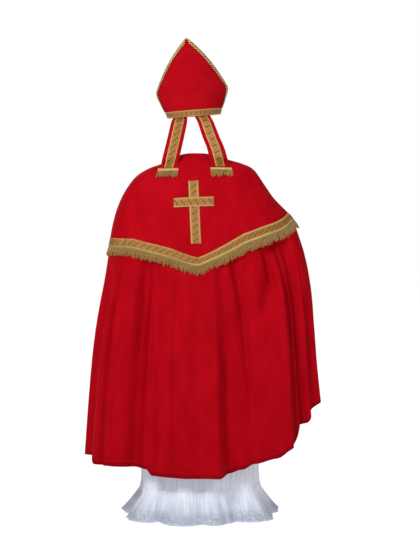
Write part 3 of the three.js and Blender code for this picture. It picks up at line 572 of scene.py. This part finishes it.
def lace():
    """Crinkled cloth above, embroidered net with flowers and a scalloped border below."""
    made, shader, places = start(
        "machine_lace_embroidered_net",
        {"Roughness": 0.75, "IOR": 1.5, "Specular IOR Level": 0.3},
    )
    flat = places["UV"]
    up = directions(flat)[1]
    net = voronoi(flat, 4.6, feature="DISTANCE_TO_EDGE")
    flowers = reach(voronoi(flat, 22, 0.6), 0.42, 0.36)
    petals = reach(voronoi(flat, 7, 0.8), 0.55, 0.45)
    bloom = maths("MULTIPLY", flowers, petals)
    worked = maths("MULTIPLY", reach(up, 0.06, 0.035), reach(up, 0.004, 0.007))
    inside, plain = maths("GREATER_THAN", net, 0.26), maths("LESS_THAN", bloom, 0.4)
    gap = maths("MULTIPLY", inside, plain)
    hole = maths("MULTIPLY", gap, maths("GREATER_THAN", worked, 0.5))
    fill(shader, {"Alpha": maths("SUBTRACT", 1.0, hole)})
    crinkle = noise(flat, 7, 3, (1, 16, 1))
    # Painted shade: the cloth is darker in the crinkles' hollows and lighter on their ridges, from the same
    # noise that raises them
    lines = reach(crinkle, 0.35, 0.65)
    cloth = blend(reach(up, 0.112, 0.05), blend(lines, "#D6DDEE", "#EBF0FA"),
                  blend(lines, "#B8C0D2", "#D4DAE7"))
    thread = blend(bloom, "#AEB6C8", "#D2D8E4")
    dye(shader, blend(worked, cloth, thread))
    broad, sewn = noise(flat, 26, 2, (1, 9, 1)), maths("MULTIPLY", bloom, worked)
    raise_by(shader, (broad, 2), (crinkle, 1.1), (sewn, 0.6))
    return made


# The braid's repeat, in millimetres: a colour, and ovals as x, y, half length, half width and turn
REPEAT = 28.0
MOTIFS = [
    ("#74280A", [(-4.6, 5.2, 5.8, 3.3, -48), (4.6, -5.2, 5.8, 3.3, -48)]),
    ("#9A4214", [(9.8, 4.8, 5.0, 2.2, -48), (-9.8, -4.8, 5.0, 2.2, -48)]),
    ("#301608", [(-1.6, 9, 1.7, 1.5, 0), (1.6, -9, 1.7, 1.5, 0), (0, 0, 2.3, 2.3, 0),
                 (5.2, 3.4, 1.3, 1.3, 0), (-5.2, -3.4, 1.3, 1.3, 0)]),
    ("#4A5420", [(14, 0, 2.4, 1.8, 0), (-14, 0, 2.4, 1.8, 0),
                 (12.6, -9, 1.6, 1.5, 0), (-12.6, 9, 1.6, 1.5, 0)]),
]
# Where the dark line and the pale edge lie, from the braid's middle
LINE = (12.9, 14.2)
EDGE = (14.4, 15.0)


def leaf(cell, x, y, half_long, half_wide, turn):
    """1 inside an oval of the repeat, in millimetres, softened at its edge."""
    inputs = {"Vector": cell, "Location": (x, y, 0), "Rotation": (0, 0, math.radians(turn)),
              "Scale": (half_long, half_wide, 1)}
    placed = add(cell, "Mapping", inputs, vector_type="TEXTURE").outputs[0]
    far = add(cell, "VectorMath", {0: placed}, operation="LENGTH").outputs["Value"]
    return reach(far, 1.12, 0.88)


def jacquard(name, half):
    """Woven braid: pale edges, and a repeat of slanting leaves and dots between two lines."""
    made, shader, places = start(
        name, {"Roughness": 0.48, "IOR": 1.5, "Metallic": 0.25, "Specular IOR Level": 0.5},
    )
    size = half / (BRAID_WIDE / 2)
    along, aside = directions(places["UV"])[:2]
    turns = maths("FRACT", maths("DIVIDE", along, REPEAT * size * MM))
    x = maths("MULTIPLY", maths("SUBTRACT", turns, 0.5), REPEAT)
    y = maths("DIVIDE", aside, size * MM)
    cell = add(x, "CombineXYZ", {0: x, 1: y}).outputs[0]
    flat = maths("ABSOLUTE", y)
    colour = blend(noise(places["UV"], 3, 2), "#845A1C", "#AA7E32")
    raised = None
    for code, ovals in MOTIFS:
        for shape in ovals:
            inside = leaf(cell, *shape)
            colour = blend(inside, colour, code)
            raised = inside if raised is None else maths("MAXIMUM", raised, inside)
    outside, inside = (maths(kind, flat, at) for kind, at in zip(("GREATER_THAN", "LESS_THAN"), LINE))
    colour = blend(maths("MULTIPLY", outside, inside), colour, "#5E4A1C")
    edge = reach(flat, *EDGE)
    ribs = ripples(along, 1.8)
    pale = blend(reach(ribs, -1, 1), "#AE8840", "#D4B068")
    dye(shader, blend(edge, colour, pale))
    ribbed = maths("MULTIPLY", ribs, edge)
    raise_by(shader, (raised, 0.5), (ribbed, 0.3), (weave(places["UV"], 0.9), 0.12))
    return made


def gimp():
    """Narrow twisted braid of the mitre's edge: slanting light and dark stitches."""
    made, shader, places = start(
        "gimp_braid_twisted_metallic_yarn",
        {"Roughness": 0.45, "IOR": 1.5, "Metallic": 0.25, "Specular IOR Level": 0.5},
    )
    along, aside = directions(places["UV"])[:2]
    twist = ripples(maths("ADD", along, maths("ABSOLUTE", aside)), 10)
    dye(shader, blend(reach(twist, -0.35, 0.35), "#5E4018", "#D6B470"))
    raise_by(shader, (twist, 0.8), (weave(places["UV"], 1.0), 0.12))
    return made


def rayon():
    made, shader, places = start(
        "rayon_fringe_twisted_yarn",
        {"Roughness": 0.42, "IOR": 1.53, "Metallic": 0.1, "Specular IOR Level": 0.5, "Sheen Weight": 0.2,
         "Sheen Tint": linear("#FFE0A0")},
    )
    # Uneven yarn tone mixed with painted highlights: the noise sets pale and dark spots along the fringe
    yarn_tone_and_highlights = noise(places["Object"], 3, 2)
    twist = ripples(directions(places["UV"])[1], 2.2)
    base = blend(reach(yarn_tone_and_highlights, 0.35, 0.65), "#6C4818", "#CC9E54")
    dye(shader, blend(reach(twist, -1, 1, 0, 0.45), base, "#7A5A20"))
    raise_by(shader, (twist, 0.2))
    return made


def heading_tape(name, dark, light):
    made, shader, places = start(
        name, {"Roughness": 0.55, "IOR": 1.53, "Specular IOR Level": 0.5},
    )
    ribs = ripples(directions(places["UV"])[0], 2.4)
    dye(shader, blend(reach(ribs, -1, 1), dark, light))
    raise_by(shader, (ribs, 0.4))
    return made


VELOUR, FELTED, BATISTE, LACED = velour(), felt(), batiste(), lace()
JACQUARD = jacquard("jacquard_braid_woven_metallic_yarn", BRAID_WIDE / 2)
NARROW_JACQUARD = jacquard("narrow_jacquard_braid_woven_metallic_yarn", MITRE_BAND / 2)
GIMP, RAYON = gimp(), rayon()
TAPE = heading_tape("fringe_heading_green_gold_woven_rayon", "#5E6628", "#948E4A")
GOLD_TAPE = heading_tape("fringe_heading_gold_woven_rayon", "#A8843A", "#E0C27A")


# Cope and capelet
def form_grid(row, across):
    """The form at rows and at shares across, from the right front edge to the left."""
    row, across = np.meshgrid(row, across, indexing="ij")
    right, left = (between(FRONT_EDGES, side, row) for side in ("right", "left"))
    angle = right + (left - right) * across
    return form_point(angle, row_share(row, angle)), angle, row


def make_cope():
    upper = np.linspace(0, CAPELET_ROWS, COPE_UPPER)[:-1]
    rows = np.concatenate([upper, np.linspace(CAPELET_ROWS, ROWS, COPE_LOWER)])
    grid, angle, row = form_grid(rows, np.linspace(0, 1, COPE_ACROSS))
    down = (row - CAPELET_ROWS + 1) / (LOWER_ROWS + 1)
    depth = fold_depth(COPE_FOLDS, angle, down) + fold_depth(COPE_CREASES, angle, down)
    free = np.clip(row - CAPELET_ROWS, 0, 1)
    depth = np.minimum(depth, 0) + np.maximum(depth, 0) * free
    waves = [(3.1, 0.4, 0.7, 0.3, 1.4), (5.3, 0.9, -1.1, 2.1, 1.0), (1.2, 4.1, 0.9, 4.0, 1.2)]
    depth = depth + wobble(grid, waves) * soft((row - CAPELET_ROWS) / 3)
    return sheet_of("cope_cloth", moved(grid, depth), SATIN, VELOUR, "red_satin")


def capelet_grid(rows=90, columns=261):
    row = np.linspace(0, CAPELET_ROWS, rows)
    grid, angle, row = form_grid(row, np.linspace(1 / COLUMNS, 1 - 1 / COLUMNS, columns))
    down = row / CAPELET_ROWS
    depth = np.maximum(0, fold_depth(CAPELET_FOLDS, angle, down) + fold_depth(CAPELET_CREASES, angle, down))
    return moved(grid, SEAM + SATIN + depth)


def strip_map(grid, ring=False):
    """Metres along a strip, and across it from its middle line."""
    uv = lengths(grid, ring)
    uv[..., 1] -= uv[:1, :, 1] / 2
    return uv


def upright_map(grid):
    """The same for a strip that runs down its columns."""
    uv = lengths(grid)[..., ::-1].copy()
    uv[..., 1] -= uv[:, [grid.shape[1] // 2], 1]
    return uv


# Layers of fringe: the yarn's length, its pitch, and how far it stands out
CAPELET_YARN = [(33, 2.5, 0), (29, 3.1, -0.6)]
LAPPET_YARN = [(34, 2.4, 0), (29, 3.0, 0.6)]
YARN_STEP = 7 * MM


def thread(points, radius, places, faces, uv, turn):
    """A three-sided yarn along some points."""
    count = len(places)
    for k, point in enumerate(points):
        for side in range(3):
            angle = turn + side * math.tau / 3
            places.append(point + radius[k] * np.array([math.cos(angle), math.sin(angle), 0]))
    for k in range(len(points) - 1):
        for side in range(3):
            a, b = count + 3 * k + side, count + 3 * k + (side + 1) % 3
            faces.append((a, b, b + 3, a + 3))
            left, right, low, high = side / 3, side / 3 + 0.3, k * YARN_STEP, (k + 1) * YARN_STEP
            uv.append([(left, low), (right, low), (right, high), (left, high)])


def yarns(roots, downs, outs, long, pitch):
    """Fringe: bunches of yarn from a line of roots, each bunch leaning its own way."""
    line = np.concatenate([[0], np.cumsum(np.linalg.norm(np.diff(roots, axis=0), axis=1))])
    total = int(line[-1] / pitch)
    places, faces, uv = [], [], []
    at = lambda values, s: np.array([np.interp(s, line, values[:, k]) for k in range(3)])
    lean, bunch_long, centre = np.zeros(3), 1.0, 0.0
    bunch_left = 0
    for n in range(total):
        s = (n + 0.5) * pitch
        if bunch_left == 0:
            bunch_left = random.randint(2, 5)
            centre = s + bunch_left * pitch / 2
            lean = random.uniform(-6, 6)
            bunch_long = random.uniform(0.82, 1.1)
            swell = random.uniform(0.2, 3.2)
        bunch_left -= 1
        root, down, out = at(roots, s), at(downs, s), at(outs, s)
        side = np.cross(down, out)
        middle = at(roots, centre)
        pull = (middle - root) * 0.45
        length = long * bunch_long * random.uniform(0.93, 1.05)
        curl, phase = random.uniform(1.2, 3.4), random.uniform(0, 6.3)
        path = []
        for k in range(6):
            t = k / 5
            wave = curl * math.sin(phase + 9 * t) * t
            path.append(root + down * length * t + pull * t + side * (lean * t * t + wave)
                        + out * (swell * math.sin(2.6 * t) + curl * math.cos(phase + 7 * t) * t))
        thread(path, [1.0, 1.15, 1.2, 1.2, 1.25, 0.8], places, faces, uv, random.uniform(0, 2))
    return np.array(places), np.array(faces), np.array(uv)


def fringe(name, head, roots, outs, layers):
    """Layers of yarn that hang from a line of roots, the way its heading runs."""
    downs = unit(head[-1] - head[0])
    made = [yarns(roots + lift * outs, downs, outs, long, pitch) for long, pitch, lift in layers]
    return piece(name, *together(*made), RAYON, "gold_braid")


def make_capelet():
    grid = capelet_grid()
    cloth = sheet_of("capelet_cloth", grid, SATIN, VELOUR, "red_satin")
    strip = grid[np.linspace(0, CAPELET_ROWS, len(grid)) >= CAPELET_ROWS - 1]
    tall = BRAID_WIDE + HEADING
    out = normals(strip)

    def lie(low, high, count, lift):
        return curve(strip + lift * out, np.linspace(low, high, count) * (len(strip) - 1))

    end = 1 - (HEADING + SEAM) / tall
    outer = lie(0, end, 7, LIE + BRAID)
    woven = wall(outer, lie(0, end, 7, LIE), uv=strip_map(outer))
    braid = piece("capelet_braid_woven", *woven, JACQUARD, "gold_braid")
    head = lie(1 - HEADING / tall, 1, 4, LIE + BRAID)
    head_in = lie(1 - HEADING / tall, 1, 4, LIE)
    tape = piece("capelet_fringe_heading", *wall(head, head_in, uv=strip_map(head)), TAPE, "gold_braid")
    roots = (head[-1] + head_in[-1]) / 2
    threads = fringe("capelet_fringe_yarn", head, roots, out[-1], CAPELET_YARN)
    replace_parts(cloth, "capelet")
    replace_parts(braid, "capelet_braid")
    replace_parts(threads, "capelet_fringe")
    return cloth, [braid, tape, threads]


def tree_of(made):
    mesh = made.data
    places = [v.co / MM for v in mesh.vertices]
    return BVHTree.FromPolygons(places, [tuple(p.vertices) for p in mesh.polygons])


def behind(surface, x, z):
    hit = surface.ray_cast(Vector((x, 1000, z)), Vector((0, -1, 0)))[0]
    return None if hit is None else hit.y


def make_cross(surface):
    made = []
    for name, bar in CROSS.items():
        x1, z1, x2, z2 = bar["ends"]
        long = np.array([x2 - x1, z2 - z1], float)
        aside = np.array([-long[1], long[0]]) / np.linalg.norm(long) * bar["half"]
        grid = np.array([[(x, behind(surface, x, z), z)
                          for k in np.linspace(1, -1, 9)
                          for x, z in [(x1 + long[0] * s - k * aside[0], z1 + long[1] * s - k * aside[1])]]
                         for s in np.linspace(0, 1, 61)], float)
        outer = moved(grid, bar["lift"] + BRAID)
        woven = wall(outer, moved(grid, bar["lift"]), uv=upright_map(outer))
        woven = piece(name + "_braid", *woven, JACQUARD, "gold_braid")
        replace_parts(woven, name)
        made.append(woven)
    return made


# Alb
def alb_row(row, angle):
    turned = np.where(angle > 180, angle - 360, angle)
    if row >= SHOULDER_ROWS:
        k = row - SHOULDER_ROWS
        x, y, side = oval(turned, *(ALB[name][k] for name in ("left", "right", "back", "front")))
        return np.stack([x, y, ALB["backZ"][k] + (ALB["sideZ"][k] - ALB["backZ"][k]) * side], -1)
    share = row_share(float(row), turned)
    at = lambda a, s: form_point(np.where(a > 180, a - 360, np.where(a < -180, a + 360, a)), s)
    across = at(turned + 0.5, share) - at(turned - 0.5, share)
    down = at(turned, share + 0.01) - at(turned, np.maximum(0, share - 0.01))
    return at(turned, share) - unit(np.cross(across, down)) * (SATIN + UNDER_COPE[row])


def alb_folds(row, angle, tables=(ALB_FOLDS, ALB_CREASES)):
    amount = soft((row - SHOULDER_ROWS - SMOOTH_ROWS) / (ALB_LENGTH - SMOOTH_ROWS - 1))
    turned = np.mod(angle, 360)
    depth = np.zeros_like(turned)
    for folds in tables:
        for at, deep, half in zip(folds["at"], folds["depth"], folds["half"]):
            apart = np.abs(turned - at)
            depth += deep * np.exp(-((np.minimum(apart, 360 - apart) / half) ** 2))
    return depth * amount


def alb_panel(middle, columns, rows=None, crinkle=0.0, short=0.0):
    count = SHOULDER_ROWS + ALB_LENGTH
    grid, angles = [], middle + np.linspace(-QUARTER, QUARTER, columns)
    for row in range(count):
        step = row - SHOULDER_ROWS + 1
        cut = ARMHOLE[step] if 0 <= step < len(ARMHOLE) else 0
        line = alb_row(row, middle + np.linspace(-1, 1, columns) * (QUARTER - cut))
        if not cut:
            line[:, 1] += SEAM / 2 * math.cos(math.radians(middle))
        grid.append(line)
    grid = np.array(grid)
    place = np.arange(count, dtype=float)
    if rows:
        place = np.linspace(0, count - 1 - short, rows)
        grid = curve(grid, place)
    depth = alb_folds(place[:, None], np.broadcast_to(angles, grid.shape[:2]))
    if crinkle:
        fine = sum(np.sin(angles * pace + phase) for pace, phase in ((2.3, 0.4), (3.7, 2.2), (5.9, 1.0)))
        quiet = soft((90 - np.abs(angles - middle)) / 6)
        depth = depth + crinkle * fine * quiet * soft((place[:, None] - SHOULDER_ROWS - 1) / 3)
    return moved(grid, depth)


def make_alb():
    made = []
    for name, middle in (("back", 0), ("front", 180)):
        grid = alb_panel(middle, ALB_FINE + 1, ALB_ROWS, ALB_CRINKLE, LACE_MEETS)
        cloth = sheet_of("alb_%s_cloth" % name, grid, LINEN, BATISTE, "white_cloth")
        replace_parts(cloth, "alb_" + name)
        made.append(cloth)
    return made


def make_lace():
    """The flounce: it leaves the panels' last rows, keeps their folds and ruffles out to the floor."""
    panels = [alb_panel(middle, ALB_FINE + 1) for middle in (0, 180)]
    around = lambda row: np.concatenate([panel[row][:-1] for panel in panels])
    above, end = around(-2), around(-1)
    out = normals(np.array([above, end]), True)[1]
    out[:, 2] = 0
    for _ in range(SPREAD_EVENLY):
        out = (np.roll(out, 1, 0) + 2 * out + np.roll(out, -1, 0)) / 4
    out = unit(out)
    j = np.arange(len(end)) * ALB_COLUMNS / ALB_FINE
    angles = np.arange(len(end)) * 180 / ALB_FINE - QUARTER
    folds = alb_folds(SHOULDER_ROWS + ALB_LENGTH - 1.0, angles, (ALB_FOLDS,))
    grid = []
    for row, (down, spread, ruffle) in enumerate(zip(LACE["down"], LACE["spread"], LACE["ruffle"])):
        wave = np.cos(math.pi * j + np.sin(j * 0.8)) * ruffle * (0.45 + 0.3 * np.sin(j * 1.7))
        start = end if row else above
        far = SEAM + LINEN + spread + ruffle + wave + LACE_FOLD * folds * down
        line = start + out * far[:, None]
        line[:, 2] = start[:, 2] - down * (start[:, 2] - FLOOR - HEM_CLEAR)
        grid.append(line)
    tall = curve(np.array(grid), np.linspace(0, len(grid) - 1, 60))
    tall[..., 2] = np.maximum(tall[..., 2], FLOOR + HEM_CLEAR)
    inner = moved(tall, -0.9, True)
    inner[..., 2] = np.maximum(inner[..., 2], FLOOR + HEM_CLEAR)
    uv = lengths(tall, True)
    uv[..., 0] = uv[:1, :, 0]
    cloth = piece("alb_lace_flounce", *wall(tall, inner, True, uv), LACED, "white_cloth")
    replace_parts(cloth, "alb_lace")
    return cloth


def sleeve_grid(side, rings):
    back, front = alb_panel(0, ALB_COLUMNS + 1), alb_panel(180, ALB_COLUMNS + 1)
    top = SHOULDER_ROWS - 1
    near, far = (0, ALB_COLUMNS) if side > 0 else (ALB_COLUMNS, 0)
    edge = [back[top][far], front[top + 1][near], front[top + 2][near],
            back[top + 3][far], back[top + 2][far], back[top + 1][far]]
    first = []
    for k, point in enumerate(edge):
        for place in (point, (point + edge[(k + 1) % len(edge)]) / 2):
            first.append(place + np.array([side * (ARMHOLE_EASE if first else ARMHOLE_TOP), 0, 0]))
    grid = [first]
    behind_it = np.array([0.0, 1, 0])
    turn = np.arange(RING) * math.tau / RING
    for i, ring in enumerate(rings):
        along = rings[min(len(rings) - 1, i + 1)][:3] - rings[max(0, i - 1)][:3]
        along = unit(along)
        behind_it = unit(behind_it - along * along.dot(behind_it))
        up = -side * unit(np.cross(behind_it, along))
        circle = np.outer(np.cos(turn), up) - side * np.outer(np.sin(turn), behind_it)
        grid.append(ring[:3] + ring[3] * circle)
    return np.array(grid)


def make_sleeves():
    made = []
    for name, side, rings in (("left", 1, LEFT_SLEEVE), ("right", -1, RIGHT_SLEEVE)):
        coarse = sleeve_grid(side, rings)
        fine = refine(coarse, SLEEVE_LONG, SLEEVE_ROUND, True)
        place = np.linspace(0, 1, SLEEVE_LONG)[:, None]
        turn = np.arange(SLEEVE_ROUND) * math.tau / SLEEVE_ROUND
        creases = sum(size * np.sin(pace * place * math.tau + turn * k + phase)
                      for size, pace, k, phase in SLEEVE_CREASES)
        fine = moved(fine, creases * soft(place * 5) * soft((1 - place) * 7), True)
        cloth = sheet_of("alb_sleeve_%s_cloth" % name, fine, LINEN, BATISTE, "white_cloth", True)
        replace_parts(cloth, "alb_sleeve_" + name)
        cuff = refine(coarse[-2:], 5, SLEEVE_ROUND, True)
        outer = moved(cuff, SEAM + BRAID, True)
        woven = wall(outer, moved(cuff, SEAM, True), True, strip_map(outer, True))
        braid = piece("cuff_braid_%s_gimp" % name, *woven, GIMP, "gold_braid")
        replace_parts(braid, "cuff_braid_" + name)
        made.append((cloth, braid))
    return made


# Mitre
def mitre_point(face, place, share):
    place, share = np.broadcast_arrays(np.asarray(place, float), np.asarray(share, float))
    up, half, edge, crown, full = (curve(column, place) for column in MITRE.values())
    full = np.radians(full)
    turn = share * full
    bow = (np.cos(turn) - np.cos(full)) / (1 - np.cos(full))
    return np.stack([face * half * np.sin(turn) / np.sin(full), face * (edge + crown * bow), up], -1)


def in_mitre(grid):
    turned = np.array(MITRE_FRAME)
    return grid @ turned[:3, :3].T + turned[:3, 3]


def braid_share(place):
    change = lambda name: curve(MITRE[name], place + 0.1) - curve(MITRE[name], place - 0.1)
    wide = EDGE_BRAID * np.hypot(1, change("half") / change("up"))
    edge = mitre_point(1, place, 1.0)
    far = lambda share: np.linalg.norm(mitre_point(1, place, share) - edge, axis=-1)
    return np.maximum(0.1, solve(far, wide, 0, 1))


def make_mitre():
    made = {}
    for name, face in (("back", 1), ("front", -1)):
        place = np.linspace(MITRE_TOP, 0, 110)
        share = np.linspace(-1, 1, 81)
        grid = mitre_point(face, place[:, None], share[None])
        dents = wobble(grid, [(5, 1, 4, 0.5, 0.5), (9, 2, -7, 2.2, 0.35), (3, 0, 8, 1.1, 0.4)])
        free = braid_share(np.minimum(place, MITRE_TOP - 0.2))[:, None] - np.abs(share)[None]
        calm = soft(free * 5) * soft((place[:, None] - 1) / 2)
        grid = moved(grid, dents * calm)
        cloth = wall(in_mitre(grid), in_mitre(moved(grid, -FELT)))
        panel = piece("mitre_%s_felt" % name, *cloth, FELTED, "red_felt")
        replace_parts(panel, "mitre_" + name)
        low = np.linspace(1.02, MITRE_TOP, 90)
        inner = braid_share(np.minimum(low, MITRE_TOP - 0.2))
        # Cross-section of the binding: over the felt, round its rim and back inside
        section = [(1, 0), (0.5, 0), (0, 0), (0, 1), (0.35, 1), (0.7, 1)]
        lines = []
        for depth, side in section:
            halves = []
            for hand in (-1, 1):
                at = hand * (1 + (inner - 1) * depth)
                point = mitre_point(face, low, at)
                step = mitre_point(face, low, at - hand * 0.02) - mitre_point(face, low, at)
                above = mitre_point(face, np.minimum(low + 0.05, MITRE_TOP), at)
                rise = above - mitre_point(face, low - 0.05, at)
                out = -hand * unit(np.cross(step, rise))
                lift = LIE if side == 0 else -FELT - LIE
                beyond = 0.9 if depth == 0 else 0
                halves.append(point + out * lift - unit(step) * beyond)
            lines.append(np.concatenate([halves[0], halves[1][::-1]]))
        made[name] = (panel, np.array(lines))
    return made


def make_edges(mitre):
    for name, (_, strip) in mitre.items():
        outer = moved(strip, BRAID)
        # The braid's own outside is away from the felt that it wraps
        if np.sum((outer[0] - strip[0]) * (strip[0] - strip[5])) < 0:
            outer = moved(strip, -BRAID)
            outer, strip = outer[:, ::-1], strip[:, ::-1]
        uv = lengths(in_mitre(outer))
        woven = wall(in_mitre(outer), in_mitre(strip), uv=uv)
        braid = piece("mitre_edge_%s_gimp" % name, *woven, GIMP, "gold_braid")
        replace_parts(braid, "mitre_edge_" + name)


def make_band():
    place = np.linspace(0.96, 0, 7)
    half = [mitre_point(face, place[:, None], np.linspace(-1, 1, 81)[None])[:, :-1] for face in (1, -1)]
    rows = np.concatenate(half, 1)
    outer = moved(rows, BAND_LIE + BRAID, True)
    woven = wall(in_mitre(outer), in_mitre(moved(rows, BAND_LIE, True)), True, strip_map(outer, True))
    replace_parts(piece("mitre_band_braid", *woven, NARROW_JACQUARD, "gold_braid"), "mitre_band")


# Lappets
def laid_row(surface, x, z, aside, lie):
    levels = [behind(surface, x + far, z) for far in aside]
    deepest = max(y for y in levels if y is not None) - LAPPET_SAG
    return [(x + far, max(deepest, -1e9 if y is None else y) + lie, z) for far, y in zip(aside, levels)]


def make_lappets(surface):
    made = []
    for name, cut in LAPPETS.items():
        aside = lambda half: np.linspace(-half, half, 9)
        grid = []
        for up in (TUCK, 0):
            place = up / MITRE_BAND
            wide, full = (float(curve(MITRE[kind], np.array(place))) for kind in ("half", "turn"))
            full = math.radians(full)
            line = []
            for far in aside(LAPPET_HALF):
                turn = math.asin((cut["top"] + far) * math.sin(full) / wide)
                point = mitre_point(1, place, turn / full)
                point = point - TUCK_IN * np.array([math.sin(turn), math.cos(turn), 0])
                line.append(in_mitre(point))
            grid.append(line)
        for x, y, z, half in cut["free"]:
            grid.append([(x + far, y - LAPPET_BOW * (far / half) ** 2, z) for far in aside(half)])
        for x, z, half in cut["laid"]:
            grid.append(laid_row(surface, x, z, aside(half), LAPPET_LIE + SATIN))
        fine = refine(np.array(grid, float), 70, 41)
        strip = sheet_of("lappet_%s_felt" % name, fine, SATIN, FELTED, "red_felt")
        share = BRAID_WIDE / np.linalg.norm(fine[:, 0] - fine[:, -1], axis=1)
        at = (0.5 + np.linspace(-0.5, 0.5, 9) * share[:, None]) * (fine.shape[1] - 1)
        low = np.floor(at).astype(int)
        part, row = (at - low)[..., None], np.arange(len(fine))[:, None]
        base = (1 - part) * fine[row, low] + part * fine[row, low + 1]
        normal = normals(fine)[row, low]
        outer = base + normal * (LIE + BRAID)
        woven = wall(outer, base + normal * LIE, uv=upright_map(outer))
        braid = piece("lappet_braid_%s_woven" % name, *woven, JACQUARD, "gold_braid")
        head = np.array([laid_row(surface, x, z, np.linspace(-half, half, 25), HEADING_LIE)
                         for x, z, half in cut["heading"]], float)
        head_out = moved(head, BRAID + 0.4)
        woven = wall(head_out, head, uv=strip_map(head_out))
        tape = piece("lappet_fringe_%s_heading" % name, *woven, GOLD_TAPE, "gold_braid")
        outs = normals(head)[-1]
        threads = fringe("lappet_fringe_%s_yarn" % name, head, head[-1] + outs * 0.8, outs, LAPPET_YARN)
        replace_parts(strip, "lappet_" + name)
        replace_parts(braid, "lappet_braid_" + name)
        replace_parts(threads, "lappet_fringe_" + name)
        made.append((strip, [braid, tape, threads]))
    return made


cope = make_cope()
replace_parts(cope, "cope_left", "cope_right")
capelet, capelet_trim = make_capelet()
surface = tree_of(capelet)
cross = make_cross(surface)
alb_back, alb_front = make_alb()
flounce = make_lace()
sleeves = make_sleeves()
mitre = make_mitre()
make_edges(mitre)
make_band()
lappets = make_lappets(surface)

# The flat cuts: width, length and area
cut(cope, 2.47, 1.39, 2.14, "draped", [alb_back, alb_front])
cut(capelet, 1.29, 0.63, 0.47, "draped", [cope], [*capelet_trim, *cross])
cut(alb_back, 0.78, 1.42, 0.92, "hung", [])
cut(alb_front, 0.78, 1.39, 0.89, "hung", [])
cut(flounce, 2.1, 0.12, None, "gathered", [alb_back, alb_front])
for sleeve, braid in sleeves:
    cut(sleeve, 0.5, 0.5, 0.16, "hung", [alb_back, alb_front], [braid])
for name in ("back", "front"):
    cut(mitre[name][0], 0.37, 0.32, 0.083, "stretched", ["mitre_band"])
for lappet, trim in lappets:
    cut(lappet, 0.075, 0.25, None, "hung", ["mitre_band", capelet], trim)


# Stage, light and camera
def make_floor():
    made, shader, places = start(
        "painted_board_matt", {"Roughness": 0.9, "Emission Color": (1, 1, 1, 1), "Emission Strength": 0.9})
    patches = noise(places["Object"], 900, 2)
    dye(shader, blend(patches, "#8A8A8A", "#909090"))
    mesh = bpy.data.meshes.new("floor")
    far, level = 40.0, FLOOR * MM
    corners = [(-far, -far, level), (far, -far, level), (far, far, level), (-far, far, level)]
    mesh.from_pydata(corners, [], [(0, 1, 2, 3)])
    floor = new_object("floor", mesh)
    mesh.materials.append(made)


# Softboxes: place, aim, size in metres, power in watts, and the beam's angle, which a grid narrows
LIGHTS = [
    ("key_softbox", (1.9, 3.7, 2.3), (0, 0, -0.06), 1.7, 25, 62),
    ("fill_softbox", (-2.6, 3.6, 1.6), (0, 0, -0.2), 2.2, 36, 180),
    ("front_softbox", (0.6, -3.8, 1.6), (0, 0, -0.5), 2.4, 40, 180),
]


def make_light(name, place, aim, size, power, beam):
    lamp = bpy.data.lights.new(name, "AREA")
    lamp.shape, lamp.size, lamp.energy, lamp.spread = "DISK", size, power, math.radians(beam)
    made = new_object(name, lamp)
    made.location = place
    made.rotation_euler = (Vector(aim) - Vector(place)).to_track_quat("-Z", "Y").to_euler()


make_floor()
for light in LIGHTS:
    make_light(*light)
overhead = bpy.data.lights.new("overhead_panel", "SUN")
overhead.energy, overhead.angle = 0.6, math.radians(100)
new_object("overhead_panel", overhead)
world = bpy.data.worlds.new("studio_white")
world.use_nodes = True
background = world.node_tree.nodes["Background"]
seen = add(background, "LightPath").outputs["Is Camera Ray"]
fill(background, {0: (1, 1, 1, 1), 1: reach(seen, 0, 1, 0.26, 1.0)})
bpy.context.scene.world = world
bpy.context.scene.view_settings.view_transform = "Standard"

camera = bpy.data.cameras.new("camera")
camera.lens = 70.4
camera.sensor_width = 36
held = new_object("camera", camera)
held.location = (-0.0672, 4.6, -0.48)
held.rotation_euler = (math.pi / 2, 0, math.pi)
bpy.context.scene.camera = held
